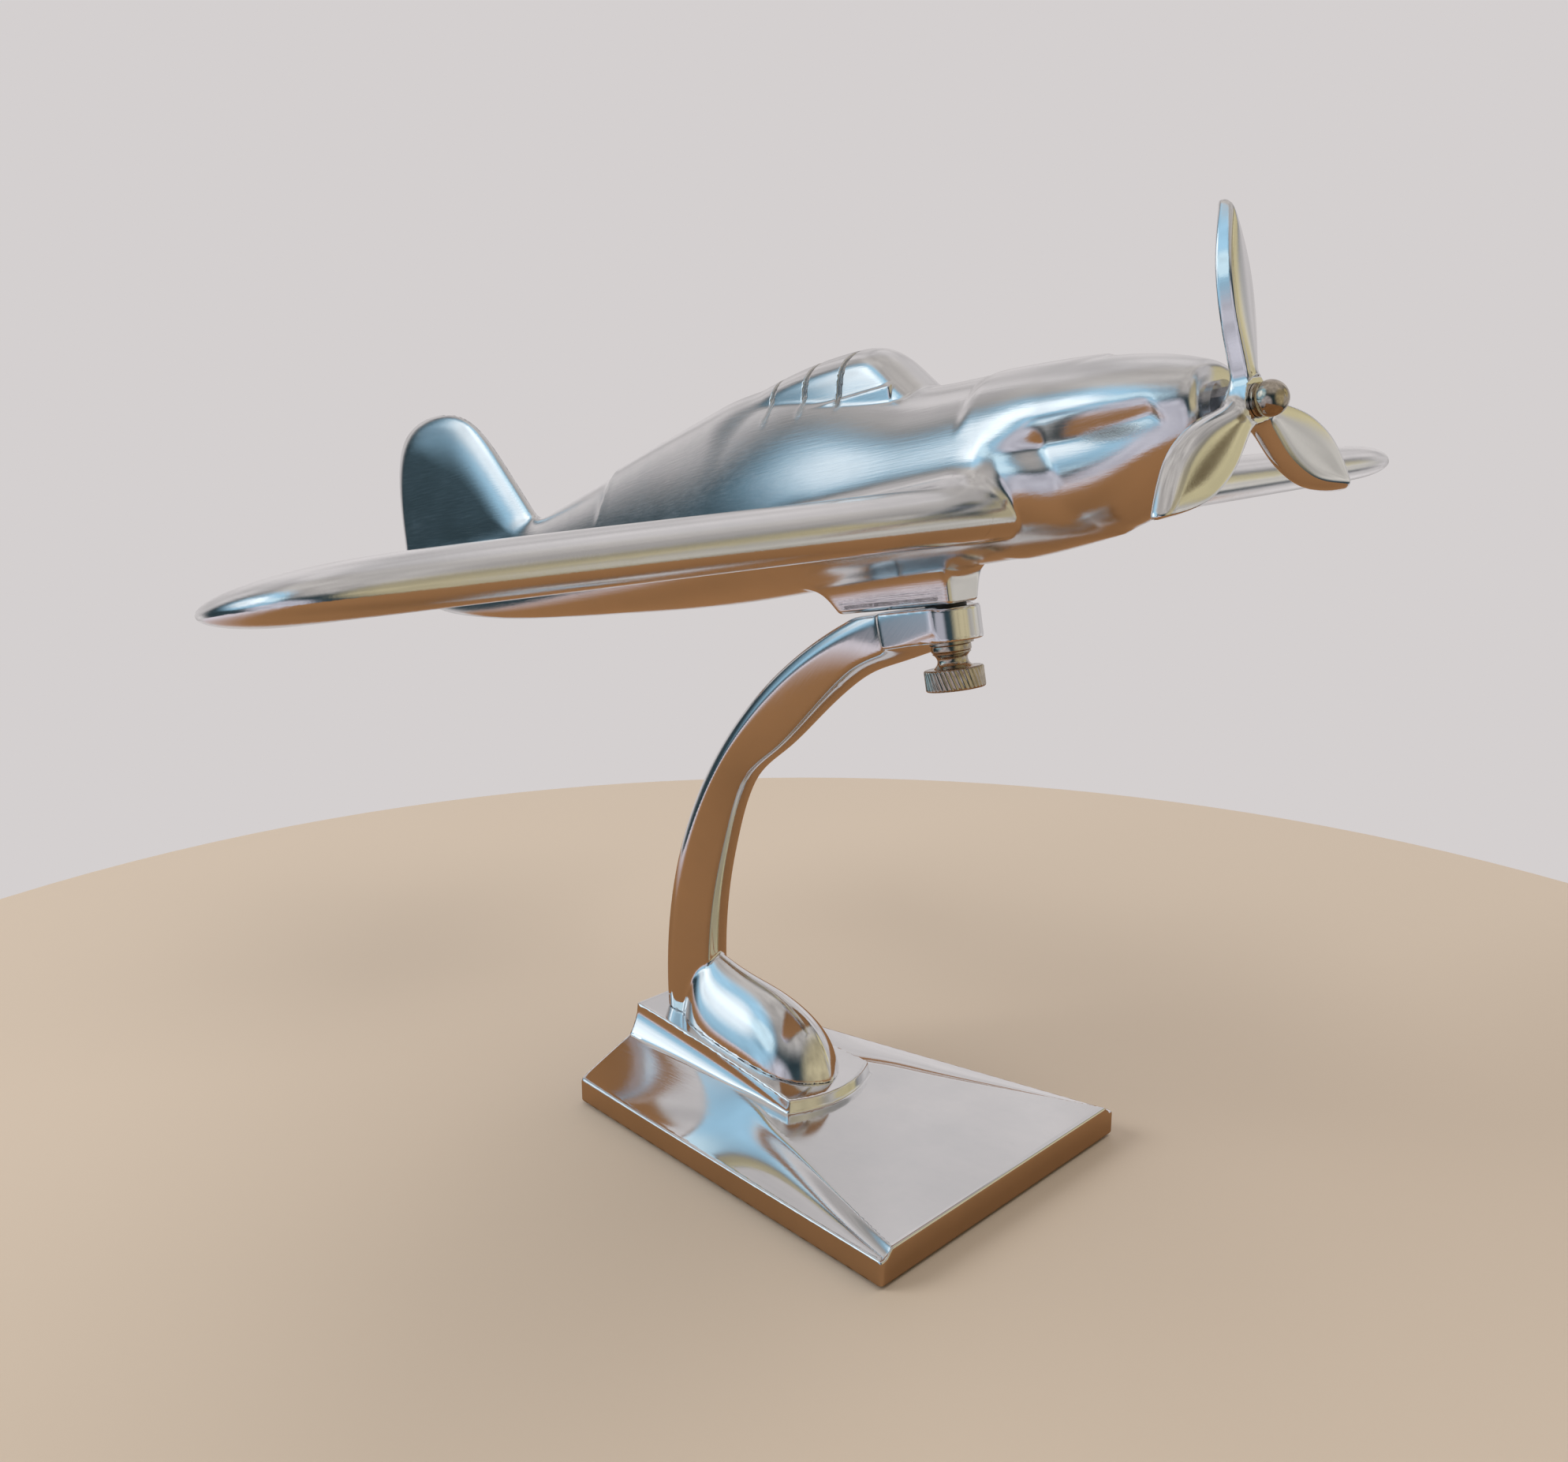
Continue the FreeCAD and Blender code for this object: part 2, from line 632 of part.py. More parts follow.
def make_airframe():
    fuselage = Part.makeLoft([oval(*station) for station in FUSELAGE], True, False)
    canopy_axis = size("Size.canopy_axis_height")
    canopy = Part.makeLoft(
        [oval(along, top, 2 * canopy_axis - top, half) for along, top, half in CANOPY],
        True, False)
    fin_sections = []
    for height, front, rear, thick in FIN:
        middle = Vector((front + rear) / 2, 0, height)
        fin_sections.append(blade_shape(middle, front - rear, thick,
                                        Vector(1, 0, 0), Vector(0, 1, 0)))
    fin = Part.makeLoft(fin_sections, True, False)
    wings = make_wing(size("Size.wing_span"), size("Size.wing_root_chord"),
                      size("Size.wing_tip_chord"), size("Size.wing_lead_edge"), 0.0,
                      size("Size.wing_middle_height"), size("Size.wing_root_thick"),
                      size("Size.wing_tip_thick"))
    tail = make_wing(size("Size.tail_span"), size("Size.tail_root_chord"),
                     size("Size.tail_tip_chord"), size("Size.tail_lead_edge"),
                     size("Size.tail_sweep"), size("Size.tail_height"),
                     size("Size.tail_root_thick"), size("Size.tail_tip_thick"))
    casting = fuselage.fuse([canopy, fin, make_pylon()] + wings + tail)

    stud_hole = Part.makeCylinder(size("Size.stud_dia / 2"), size("Size.stud_in_pylon + 1"))
    axle_hole = Part.makeCylinder(size("Size.axle_dia / 2"), size("Size.axle_in_nose + 1"),
                                  Vector(size("Size.nose_face - Size.axle_in_nose - 1"), 0,
                                         size("Size.thrust_height")), Vector(1, 0, 0))
    casting = casting.cut(stud_hole).cut(axle_hole)
    for along in GROOVES_AT:
        casting = casting.cut(canopy_groove(along))
    return free_form("airframe", casting, PLANE)


def canopy_groove(along):
    """Hoop-shaped cut that marks a frame of the canopy and stops at its ledge."""
    wide, reach = size("Size.groove_wide"), size("Size.groove_reach")
    middle = Vector(along, 0, size("Size.groove_hoop_height"))
    nose_way = Vector(1, 0, 0)
    outer = Part.makeCylinder(reach, wide, middle, nose_way)
    inner = Part.makeCylinder(size("Size.groove_floor_dia / 2"), wide, middle, nose_way)
    ends_at, deep = size("Size.groove_ends_at"), 2 * reach
    lower = Part.makeBox(3 * wide, deep, deep, Vector(along - wide, -reach, ends_at - deep))
    return outer.cut(inner).cut(lower)


# ------------------------------------------------------------ propeller group

# Blade: (radius, chord, thickness, angle from the disc in degrees), root to tip.
# A negative angle sets the upper blade's starboard edge ahead of its port edge.
BLADE = [
    (2.0, 5.2, 4.2, -14),
    (6.0, 6.4, 4.2, -13),
    (12.0, 9.2, 4.1, -12),
    (18.0, 10.4, 4.0, -12),
    (24.0, 9.0, 3.8, -12),
    (29.0, 5.4, 3.4, -12),
    (31.6, 2.2, 2.9, -12),
    (32.4, 1.0, 2.4, -12),
]


# Length of axle between the nose and the hub: a washer and a lock nut.
SPACING = "Size.nose_washer_thick + Size.lock_nut_tall"


def make_propeller():
    mid_thick = size(f"Size.nose_face + {SPACING} + Size.end_float + Size.hub_thick / 2")
    sections = []
    for radius, chord, thick, angle in BLADE:
        turn = math.radians(angle)
        # The piece's own Z is the thrust line; the first blade points along its -X (up).
        chord_way = Vector(0, math.cos(turn), math.sin(turn))
        thick_way = Vector(0, -math.sin(turn), math.cos(turn))
        middle = Vector(-radius, 0, mid_thick)
        points = [middle + chord_way * (chord / 2 * math.cos(a))
                  + thick_way * (thick / 2 * math.sin(a)) for a in around(16)]
        sections.append(closed_curve(points))
    blade = Part.makeLoft(sections, True, False)
    hub_rear = mid_thick - size("Size.hub_thick / 2")
    hub = Part.makeCylinder(size("Size.hub_dia / 2"), size("Size.hub_thick"), Vector(0, 0, hub_rear))
    # The blades start at the hub's wall, so no root stands proud of its two faces.
    core = Part.makeCylinder(size("Size.hub_dia / 2"), 40, Vector(0, 0, mid_thick - 20))
    blade = blade.cut(core)
    blades = []
    count = int(size("Size.blade_count"))
    for number in range(count):
        copy = blade.copy()
        copy.rotate(Vector(0, 0, 0), Vector(0, 0, 1), 360 * number / count)
        blades.append(copy)
    casting = hub.fuse(blades)
    bore = Part.makeCylinder(size("Size.axle_dia / 2 + Size.running_gap"), 40,
                             Vector(0, 0, mid_thick - 20))
    return free_form("propeller", casting.cut(bore).removeSplitter(), THRUST)


def make_nose_hardware():
    axle = "Size.axle_dia / 2"
    nose = "Size.nose_face"
    hub_rear = f"({nose} + {SPACING} + Size.end_float)"
    washer_at = f"({hub_rear} + Size.hub_thick + Size.end_float)"
    ball_at = f"({washer_at} + Size.front_washer_thick)"
    axle_end = f"({ball_at} + 2)"
    turned("propeller_axle", THRUST,
           [("0", f"{nose} - Size.axle_in_nose"), (f"{axle} - 0.4", f"{nose} - Size.axle_in_nose"),
            (axle, f"{nose} - Size.axle_in_nose + 0.4"), (axle, f"{axle_end} - 0.4"),
            (f"{axle} - 0.4", axle_end), ("0", axle_end)])
    ring("nose_washer", THRUST, "Size.axle_dia", "Size.nose_washer_dia",
         "Size.nose_washer_thick", nose)
    make_lock_nut(f"({nose} + Size.nose_washer_thick)")
    ring("propeller_washer", THRUST, "Size.axle_dia", "Size.front_washer_dia",
         "Size.front_washer_thick", washer_at)
    make_ball_nut(axle, ball_at, axle_end)


def make_lock_nut(start):
    """Hexagonal nut that locks the axle in the nose."""
    body = new_body("axle_lock_nut", THRUST)
    flat = "Size.lock_nut_flats / 2"
    corner = f"{flat} / cos(30)"
    hexagon = outline(body, "hexagon", "XY_Plane",
                      [(corner, "0"), (f"{corner} / 2", flat), (f"-{corner} / 2", flat),
                       (f"-{corner}", "0"), (f"-{corner} / 2", f"-{flat}"),
                       (f"{corner} / 2", f"-{flat}")], start)
    pad(body, hexagon, "nut_block", "Size.lock_nut_tall")
    round_hole(body, "nut_thread", "XY_Plane", ("0", "0"), "Size.axle_dia",
               "Size.lock_nut_tall", start, True)
    return body


def make_ball_nut(axle, ball_at, axle_end):
    """Ball-headed nut: a short neck and a ball, with a blind hole for the axle."""
    radius = size("Size.ball_dia / 2")
    neck = size("Size.ball_neck_dia / 2")
    start = size(ball_at)
    centre = start + size("Size.ball_middle")
    ball = Part.makeSphere(radius, Vector(0, 0, centre))
    collar = Part.makeCylinder(neck, 0.7, Vector(0, 0, start))
    behind = Part.makeCylinder(radius + 1, 5, Vector(0, 0, start - 5))
    hole = Part.makeCylinder(size(axle), size(axle_end) - start, Vector(0, 0, start))
    shape = ball.fuse(collar).cut(behind).cut(hole)
    return free_form("ball_nut", shape.removeSplitter(), THRUST)


# ------------------------------------------------------------------- assembly

make_base_plate()
make_base_felt()
for number, along in enumerate(SCREWS_AT, start=1):
    make_arm_screw(number, along)
    ring(f"arm_screw_washer_{number}", Placement(Vector(size(along), 0, 0), Rotation()),
         "Size.screw_clear_dia", "Size.plain_washer_dia", "Size.plain_washer_thick",
         "(Size.counterbore_top - Size.plain_washer_thick)")
make_arm()
make_clamp()
make_airframe()
make_nose_hardware()
make_propeller()

doc.recompute()
for item in doc.Objects:
    assert "Invalid" not in item.State and "Error" not in item.State, item.Name
os.makedirs("parts", exist_ok=True)
for label, piece in parts.items():
    shape = piece.Shape
    assert not shape.isNull() and shape.isValid(), label + " is not a valid shape"
    box = shape.BoundBox
    print(f"{label:22s} solids {len(shape.Solids)}  volume {shape.Volume:9.1f}  "
          f"x {box.XMin:7.1f} {box.XMax:7.1f}  y {box.YMin:7.1f} {box.YMax:7.1f}  "
          f"z {box.ZMin:7.1f} {box.ZMax:7.1f}")
    shape.exportStep(os.path.join("parts", label + ".step"))
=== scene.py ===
"""Visual model of the propeller plane: polished castings, plated hardware, felt, studio.

The castings are meshed from smooth implicit surfaces, so that one skin runs through
fuselage, wings and fillets as it does on the metal. Lengths are in millimetres in each
part's own frame until a mesh is made, and in metres in the scene.
"""
import json
import math

import bpy
import numpy as np
from mathutils import Matrix, Vector


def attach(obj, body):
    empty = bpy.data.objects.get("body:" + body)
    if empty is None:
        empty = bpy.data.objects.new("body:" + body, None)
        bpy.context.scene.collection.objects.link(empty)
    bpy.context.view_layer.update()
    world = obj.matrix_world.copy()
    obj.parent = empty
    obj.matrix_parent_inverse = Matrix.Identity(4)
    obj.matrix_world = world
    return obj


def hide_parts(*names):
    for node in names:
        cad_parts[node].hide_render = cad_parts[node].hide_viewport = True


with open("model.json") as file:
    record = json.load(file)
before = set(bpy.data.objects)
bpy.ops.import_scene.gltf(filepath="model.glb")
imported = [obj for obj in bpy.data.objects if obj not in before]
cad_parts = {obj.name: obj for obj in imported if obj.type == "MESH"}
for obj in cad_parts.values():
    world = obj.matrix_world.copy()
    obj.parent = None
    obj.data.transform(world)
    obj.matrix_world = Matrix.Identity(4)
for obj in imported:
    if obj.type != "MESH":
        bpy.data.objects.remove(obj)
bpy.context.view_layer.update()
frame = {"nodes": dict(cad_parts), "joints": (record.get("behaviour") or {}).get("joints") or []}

MM = 0.001
joints = {joint["name"]: joint for joint in frame["joints"]}

# ------------------------------------------------------------------ frames

clamp_point = Vector(joints["plane_swivel"]["pos_m"])
plane_up = Vector(joints["plane_swivel"]["axis"]).normalized()
nose_way = Vector(joints["propeller_spin"]["axis"]).normalized()
hub_point = Vector(joints["propeller_spin"]["pos_m"])
head_way = Vector((plane_up.z, 0.0, -plane_up.x))


def frame_matrix(origin, forward, up):
    """Matrix from millimetres along (forward, port, up) to metres in the scene."""
    port = up.cross(forward)
    turn = Matrix((forward, port, up)).transposed().to_4x4()
    return Matrix.Translation(origin) @ turn @ Matrix.Scale(MM, 4)


STAND = Matrix.Scale(MM, 4)
PLANE = frame_matrix(clamp_point, nose_way, plane_up)
THRUST = frame_matrix(hub_point, nose_way, plane_up)


# ------------------------------------------------------- smooth field helpers

def smooth_min(a, b, radius):
    """Union of two fields with a fillet that grows with radius."""
    near = np.maximum(radius - np.abs(a - b), 0.0) / radius
    return np.minimum(a, b) - near ** 3 * radius / 6.0


def smooth_max(a, b, radius):
    return -smooth_min(-a, -b, radius)


def soft_step(low, high, x):
    t = np.clip((x - low) / (high - low), 0.0, 1.0)
    return t * t * t * (t * (6.0 * t - 15.0) + 10.0)


class Curve:
    """Natural cubic spline through (x, y) points, held level beyond its ends."""

    def __init__(self, *points):
        points = sorted(points)
        self.x = np.array([p[0] for p in points], float)
        self.y = np.array([p[1] for p in points], float)
        count = len(points)
        gaps = np.diff(self.x)
        system = np.eye(count)
        right = np.zeros(count)
        for i in range(1, count - 1):
            system[i, i - 1:i + 2] = gaps[i - 1], 2 * (gaps[i - 1] + gaps[i]), gaps[i]
            slopes = np.diff(self.y[i - 1:i + 2]) / gaps[i - 1:i + 1]
            right[i] = 6 * (slopes[1] - slopes[0])
        self.bend = np.linalg.solve(system, right)

    def __call__(self, x):
        x = np.clip(x, self.x[0], self.x[-1])
        i = np.clip(np.searchsorted(self.x, x) - 1, 0, len(self.x) - 2)
        gap = self.x[i + 1] - self.x[i]
        a = (self.x[i + 1] - x) / gap
        b = 1.0 - a
        curve = (a ** 3 - a) * self.bend[i] + (b ** 3 - b) * self.bend[i + 1]
        return a * self.y[i] + b * self.y[i + 1] + curve * gap ** 2 / 6.0


def oval(across, rise, half_width, half_height):
    """Distance-like field of an ellipse with the given half axes."""
    a, b = across / half_width, rise / half_height
    reach = np.sqrt(a * a + b * b) + 1e-9
    slope = np.sqrt((a / half_width) ** 2 + (b / half_height) ** 2) + 1e-9
    return reach * (reach - 1.0) / slope


# --------------------------------------------------------------- mesh making

BLOCK_REACH = 1.8     # a block is sampled if the surface is within this many block sizes
BATCH = 400           # blocks sampled in one call of the field


def cell_corners(values, cells):
    """Values at the eight corners of each cell, as an (n, 2, 2, 2) array."""
    corners = np.empty((len(cells), 2, 2, 2), values.dtype)
    for i in (0, 1):
        for j in (0, 1):
            for k in (0, 1):
                corners[:, i, j, k] = values[cells[:, 0] + i, cells[:, 1] + j, cells[:, 2] + k]
    return corners


def sample_near_surface(field, low, step, blocks, block):
    """Field values on the whole grid: exact near the surface, only signs elsewhere."""
    edges = [low[i] + step * block * np.arange(blocks[i] + 1) for i in range(3)]
    coarse = field(*np.meshgrid(*edges, indexing="ij"))
    signs = np.where(coarse[:-1, :-1, :-1] < 0, -1.0, 1.0).astype(np.float32)
    values = np.ones([n * block + 1 for n in blocks], np.float32)
    for axis in range(3):
        signs = np.repeat(signs, block, axis=axis)
    values[:-1, :-1, :-1] = signs
    origins = np.argwhere(np.ones(blocks, bool))
    nearest = np.abs(cell_corners(coarse, origins)).min(axis=(1, 2, 3))
    active = origins[nearest < step * block * BLOCK_REACH]
    offsets = np.stack(np.meshgrid(*[np.arange(block + 1)] * 3, indexing="ij"), -1)
    for start in range(0, len(active), BATCH):
        part = active[start:start + BATCH]
        index = part[:, None, None, None, :] * block + offsets[None]
        found = field(*[low[i] + step * index[..., i] for i in range(3)])
        for (i, j, k), cube in zip(part * block, found.astype(np.float32)):
            values[i:i + block + 1, j:j + block + 1, k:k + block + 1] = cube
    return values


def slope_of(field, points, reach=0.02):
    """Gradient of the field at (n, 3) points."""
    slope = np.empty_like(points)
    for axis in range(3):
        ahead, behind = points.copy(), points.copy()
        ahead[:, axis] += reach
        behind[:, axis] -= reach
        slope[:, axis] = (field(*ahead.T) - field(*behind.T)) / (2 * reach)
    return slope


def onto_surface(field, points, step, rounds=3):
    """Points moved along the slope to field = 0, by at most one step a round."""
    for _ in range(rounds):
        slope = slope_of(field, points)
        size = np.maximum((slope ** 2).sum(1), 1e-6)
        move = -(field(*points.T) / size)[:, None] * slope
        length = np.linalg.norm(move, axis=1, keepdims=True)
        points = points + move * np.minimum(1.0, step / np.maximum(length, 1e-9))
    return points


def implicit_mesh(field, low, high, step, block=8, relax=2):
    """Quads over the surface field = 0 within a box: (points, quads, normals)."""
    low = np.array(low, float)
    blocks = np.ceil((np.array(high, float) - low) / (step * block)).astype(int)
    values = sample_near_surface(field, low, step, blocks, block)
    inside = values < 0
    filled = np.zeros([n - 1 for n in inside.shape], np.int8)
    for i in (0, 1):
        for j in (0, 1):
            for k in (0, 1):
                ni, nj, nk = inside.shape
                filled += inside[i:ni - 1 + i, j:nj - 1 + j, k:nk - 1 + k]
    cells = np.argwhere((filled > 0) & (filled < 8))
    number = np.full(filled.shape, -1, np.int32)
    number[tuple(cells.T)] = np.arange(len(cells))

    corners = cell_corners(values, cells).astype(float)
    total = np.zeros((len(cells), 3))
    crossings = np.zeros(len(cells))
    for axis in range(3):
        ends = np.moveaxis(corners, axis + 1, 1)
        for p in (0, 1):
            for q in (0, 1):
                a, b = ends[:, 0, p, q], ends[:, 1, p, q]
                cross = (a < 0) != (b < 0)
                t = np.where(cross, a / np.where(cross, a - b, 1.0), 0.0)
                spot = np.insert(np.tile([float(p), float(q)], (len(cells), 1)), axis, t, axis=1)
                total += spot * cross[:, None]
                crossings += cross
    points = low + step * (cells + total / crossings[:, None])

    quads = []
    for axis in range(3):
        b, c = (axis + 1) % 3, (axis + 2) % 3
        first = np.take(inside, range(inside.shape[axis] - 1), axis)
        second = np.take(inside, range(1, inside.shape[axis]), axis)
        spots = np.argwhere(first != second)
        spots = spots[(spots[:, b] > 0) & (spots[:, c] > 0)
                      & (spots[:, b] < filled.shape[b]) & (spots[:, c] < filled.shape[c])]
        around = []
        for db, dc in ((-1, -1), (0, -1), (0, 0), (-1, 0)):
            cell = spots.copy()
            cell[:, b] += db
            cell[:, c] += dc
            around.append(number[tuple(cell.T)])
        faces = np.stack(around, 1)
        flip = ~first[tuple(spots.T)]
        faces[flip] = faces[flip][:, ::-1]
        quads.append(faces)
    quads = np.concatenate(quads)
    points = onto_surface(field, points, step)
    for _ in range(relax):
        points = onto_surface(field, relaxed(points, quads), step, rounds=1)
    points = onto_surface(field, points, step, rounds=1)
    normals = slope_of(field, points)
    normals /= np.maximum(np.linalg.norm(normals, axis=1, keepdims=True), 1e-9)
    return points, quads, normals


def patched_mesh(field, low, high, step, patch_low, patch_high, patch_step):
    """A surface meshed coarsely, with a finer patch in one box that overlaps its rim."""
    points, quads, normals = implicit_mesh(field, low, high, step)
    middles = points[quads].mean(axis=1)
    covered = (middles > np.array(patch_low) + step) & (middles < np.array(patch_high) - step)
    quads = quads[~covered.all(axis=1)]
    patch = implicit_mesh(field, patch_low, patch_high, patch_step)
    return (np.concatenate([points, patch[0]]),
            np.concatenate([quads, patch[1] + len(points)]),
            np.concatenate([normals, patch[2]]))


def relaxed(points, quads):
    """Each point moved half way to the mean of its neighbours."""
    total = np.zeros_like(points)
    count = np.zeros(len(points))
    for side in range(4):
        here, there = quads[:, side], quads[:, (side + 1) % 4]
        for a, b in ((here, there), (there, here)):
            for axis in range(3):
                total[:, axis] += np.bincount(a, points[b, axis], len(points))
            count += np.bincount(a, minlength=len(points))
    return 0.5 * points + 0.5 * total / np.maximum(count, 1)[:, None]


def new_piece(name, points, quads, normals, matrix):
    """Object from arrays in a part's own millimetres, with exact surface normals."""
    turn = np.array(matrix.to_3x3()) / MM
    spots = points @ (turn * MM).T + np.array(matrix.translation)
    mesh = bpy.data.meshes.new(name)
    mesh.vertices.add(len(spots))
    mesh.vertices.foreach_set("co", spots.astype(np.float32).ravel())
    mesh.loops.add(quads.size)
    mesh.loops.foreach_set("vertex_index", quads.astype(np.int32).ravel())
    mesh.polygons.add(len(quads))
    starts = np.arange(0, quads.size, quads.shape[1], dtype=np.int32)
    mesh.polygons.foreach_set("loop_start", starts)
    mesh.update(calc_edges=True)
    mesh.validate()
    mesh.polygons.foreach_set("use_smooth", np.ones(len(quads), bool))
    if normals is not None:
        mesh.normals_split_custom_set_from_vertices((normals @ turn.T).tolist())
    piece = bpy.data.objects.new(name, mesh)
    bpy.context.scene.collection.objects.link(piece)
    return piece

# ------------------------------------------------------------------ airframe

AIRFRAME_STEP = 1.0
DETAIL_STEP = 0.42
FINE_STEP = 0.55

# Side and plan outlines of the body: millimetres ahead of the clamp point.
BODY_TOP = Curve((-214, 29.6), (-176, 30.4), (-146, 32.4), (-128, 35.2), (-98, 41.0), (-66, 46.6),
                 (-40, 50.2), (-16, 47.6), (2, 43.4), (18, 42.6), (36, 42.0), (53, 40.4),
                 (62, 38.4), (68, 36.4))
BODY_BOTTOM = Curve((-214, 16.0), (-198, 11.6), (-185, 9.6), (-168, 7.9), (-144, 6.6), (-107, 5.5),
                    (-75, 4.9), (-50, 5.3), (0, 7.4), (24, 8.1), (41, 9.9), (51, 12.1), (59, 16.4),
                    (68, 21.4))
BODY_HALF = Curve((-214, 2.8), (-200, 3.4), (-176, 4.6), (-146, 6.4), (-112, 9.0), (-80, 11.8),
                  (-50, 14.4), (-20, 16.2), (5, 16.8), (26, 16.6))
COWL_ROOF_HALF = Curve((20, 14.0), (38, 13.6), (50, 12.9), (60, 10.8), (68, 8.0))
COWL_FLOOR_HALF = Curve((20, 12.9), (38, 12.2), (50, 11.5), (60, 10.0), (68, 7.6))
SPINE = Curve((-214, 0.05), (-146, 0.14), (-80, 0.30), (-40, 0.34), (-5, 0.22), (20, 0.12),
              (68, 0.05))
SHOULDER_STARTS, SHOULDER_ENDS = 24.0, 46.0
SHOULDER_POWER = 2.6
SHOULDER_PINCH, PINCH_HEIGHT, PINCH_SPREAD = 3.2, 27.0, 3.0
CHEEK_HEIGHT, FLOOR_LOBE_TOP, LEAST_ROOF = 30.4, 36.0, 2.0
CHEEK_INSET, CHEEK_LIFT = 0.3, 1.0
UNDERCUT_OUT, UNDERCUT_DOWN = 0.91, 0.41
CHEEK_FADE, CHEEK_FADE_FROM, CHEEK_FADE_TO = 3.2, 59.0, 66.0
COWL_START, NOSE_FACE = 22.0, 67.5
TAIL_END = -213.8


def body_section(u, v, w, half_width):
    """Egg-shaped section, narrower toward the spine."""
    top, bottom = BODY_TOP(u), BODY_BOTTOM(u)
    middle, reach = (top + bottom) / 2, (top - bottom) / 2
    narrowing = 1.0 - SPINE(u) * np.clip((w - middle) / reach, -1.2, 1.2)
    return oval(v, w - middle, half_width * narrowing, reach)


def cowling(u, v, w):
    """Two lobes: a roof whose cheeks overhang, and a rounder floor beneath them."""
    top, bottom = BODY_TOP(u), BODY_BOTTOM(u)
    roof_half = COWL_ROOF_HALF(u)
    roof = oval(v, w - CHEEK_HEIGHT, roof_half, np.maximum(top - CHEEK_HEIGHT, LEAST_ROOF))
    overhang = ((v - roof_half + CHEEK_INSET) * UNDERCUT_OUT
                - (w - CHEEK_HEIGHT - CHEEK_LIFT) * UNDERCUT_DOWN)
    overhang = overhang - CHEEK_FADE * soft_step(CHEEK_FADE_FROM, CHEEK_FADE_TO, u)
    roof = smooth_max(roof, overhang, 1.5)
    floor = oval(v, w - (FLOOR_LOBE_TOP + bottom) / 2, COWL_FLOOR_HALF(u),
                 (FLOOR_LOBE_TOP - bottom) / 2)
    barrel = smooth_max(smooth_min(roof, floor, 0.9), COWL_START - u, 4.0)
    return smooth_max(barrel, u - NOSE_FACE, 3.0)


def fuselage(u, v, w):
    """Body that ends in round shoulders, with the narrower cowling ahead of them."""
    pinch = SHOULDER_PINCH * np.exp(-((w - PINCH_HEIGHT) / PINCH_SPREAD) ** 2)
    fade = np.clip((u + pinch - SHOULDER_STARTS) / (SHOULDER_ENDS - SHOULDER_STARTS), 0.0, 0.999)
    half_width = BODY_HALF(u) * np.sqrt(1.0 - fade ** SHOULDER_POWER)
    middle = body_section(u, v, w, half_width)
    middle = smooth_max(middle, u - SHOULDER_ENDS, 2.0)
    body = smooth_min(middle, cowling(u, v, w), 2.6)
    return smooth_max(body, TAIL_END - u, 2.5)


def slab(plan, across, half_thick, rounding):
    """Pillow: a plan outline, thinning to a round edge within the rounding distance."""
    edge = np.maximum(1.0 + plan / rounding, 0.0)
    face = across / half_thick
    reach = np.sqrt(edge * edge + face * face) + 1e-9
    slope = np.sqrt((edge / rounding) ** 2 + (face / half_thick) ** 2) + 1e-9
    return reach * (reach - 1.0) / slope


def half_plane(x, y, x0, y0, degrees):
    """Distance beyond a line through (x0, y0) whose outward normal has this direction."""
    turn = math.radians(degrees)
    return (x - x0) * math.cos(turn) + (y - y0) * math.sin(turn)


# Straight outlines of the flying surfaces: a point on each, and its outward normal.
WING_LEAD, WING_REAR = (32.6, 14.0, 3.25), (-37.0, 14.0, 172.0)
FIN_LEAD, FIN_TOP, FIN_REAR = (-144.0, 33.9, 38.2), (-189.0, 67.9, 85.0), (-215.0, 45.0, 178.0)
TAIL_LEAD, TAIL_TIP, TAIL_REAR = (-160.0, 8.0, 18.0), (-190.0, 47.6, 90.0), (-207.0, 8.0, 176.0)
WING_SPAN, WING_TIP = 150.0, 149.3
WING_LEVEL, DIHEDRAL = 16.2, 1.2
CHORD_MIDDLE, CHORD_HALF = -2.0, 32.0
# Half thickness, its loss at the tip, fullness ahead, rounding, and how much it sharpens.
WING_ABOVE, WING_BELOW = (5.7, 1.0, 0.22, 17.0, 8.0), (3.9, 0.8, 0.1, 10.0, 4.0)
FIN_FOOT, FIN_HALF = 22.0, 3.2
TAIL_LEVEL, TAIL_HALF = 24.5, 2.8


def wing_panel(u, v, w):
    """Wing with a nearly flat underside, a full leading edge and a blunt rounded tip."""
    span = np.clip(v / WING_SPAN, 0.0, 1.0)
    lead, rear = half_plane(u, v, *WING_LEAD), half_plane(u, v, *WING_REAR)
    plan = smooth_max(smooth_max(lead, v - WING_TIP, 36.0), rear, 34.0)
    x = np.clip((u - CHORD_MIDDLE) / CHORD_HALF, -1.0, 1.0)
    middle = WING_LEVEL + DIHEDRAL * span
    rise = w - middle
    above, below = (
        slab(plan, rise, (thick - taper * span) * (1.0 + fullness * x), rounding - sharper * x)
        for thick, taper, fullness, rounding, sharper in (WING_ABOVE, WING_BELOW))
    return np.where(rise > 0, above, below)


def fin(u, v, w):
    """Swept leading edge, rounded top, and a rounding that grows away from the rear."""
    lead, top, rear = (half_plane(u, w, *line) for line in (FIN_LEAD, FIN_TOP, FIN_REAR))
    plan = smooth_max(smooth_max(lead, top, 18.0), rear, 42.0)
    plan = smooth_max(plan, FIN_FOOT - w, 2.0)
    return slab(plan, v, FIN_HALF, 5.0 + 9.0 * soft_step(-208.0, -176.0, u))


def tailplane(u, v, w):
    lead, tip, rear = (half_plane(u, v, *line) for line in (TAIL_LEAD, TAIL_TIP, TAIL_REAR))
    plan = smooth_max(smooth_max(lead, tip, 16.0), rear, 16.0)
    return slab(plan, w - TAIL_LEVEL, TAIL_HALF, 12.0)


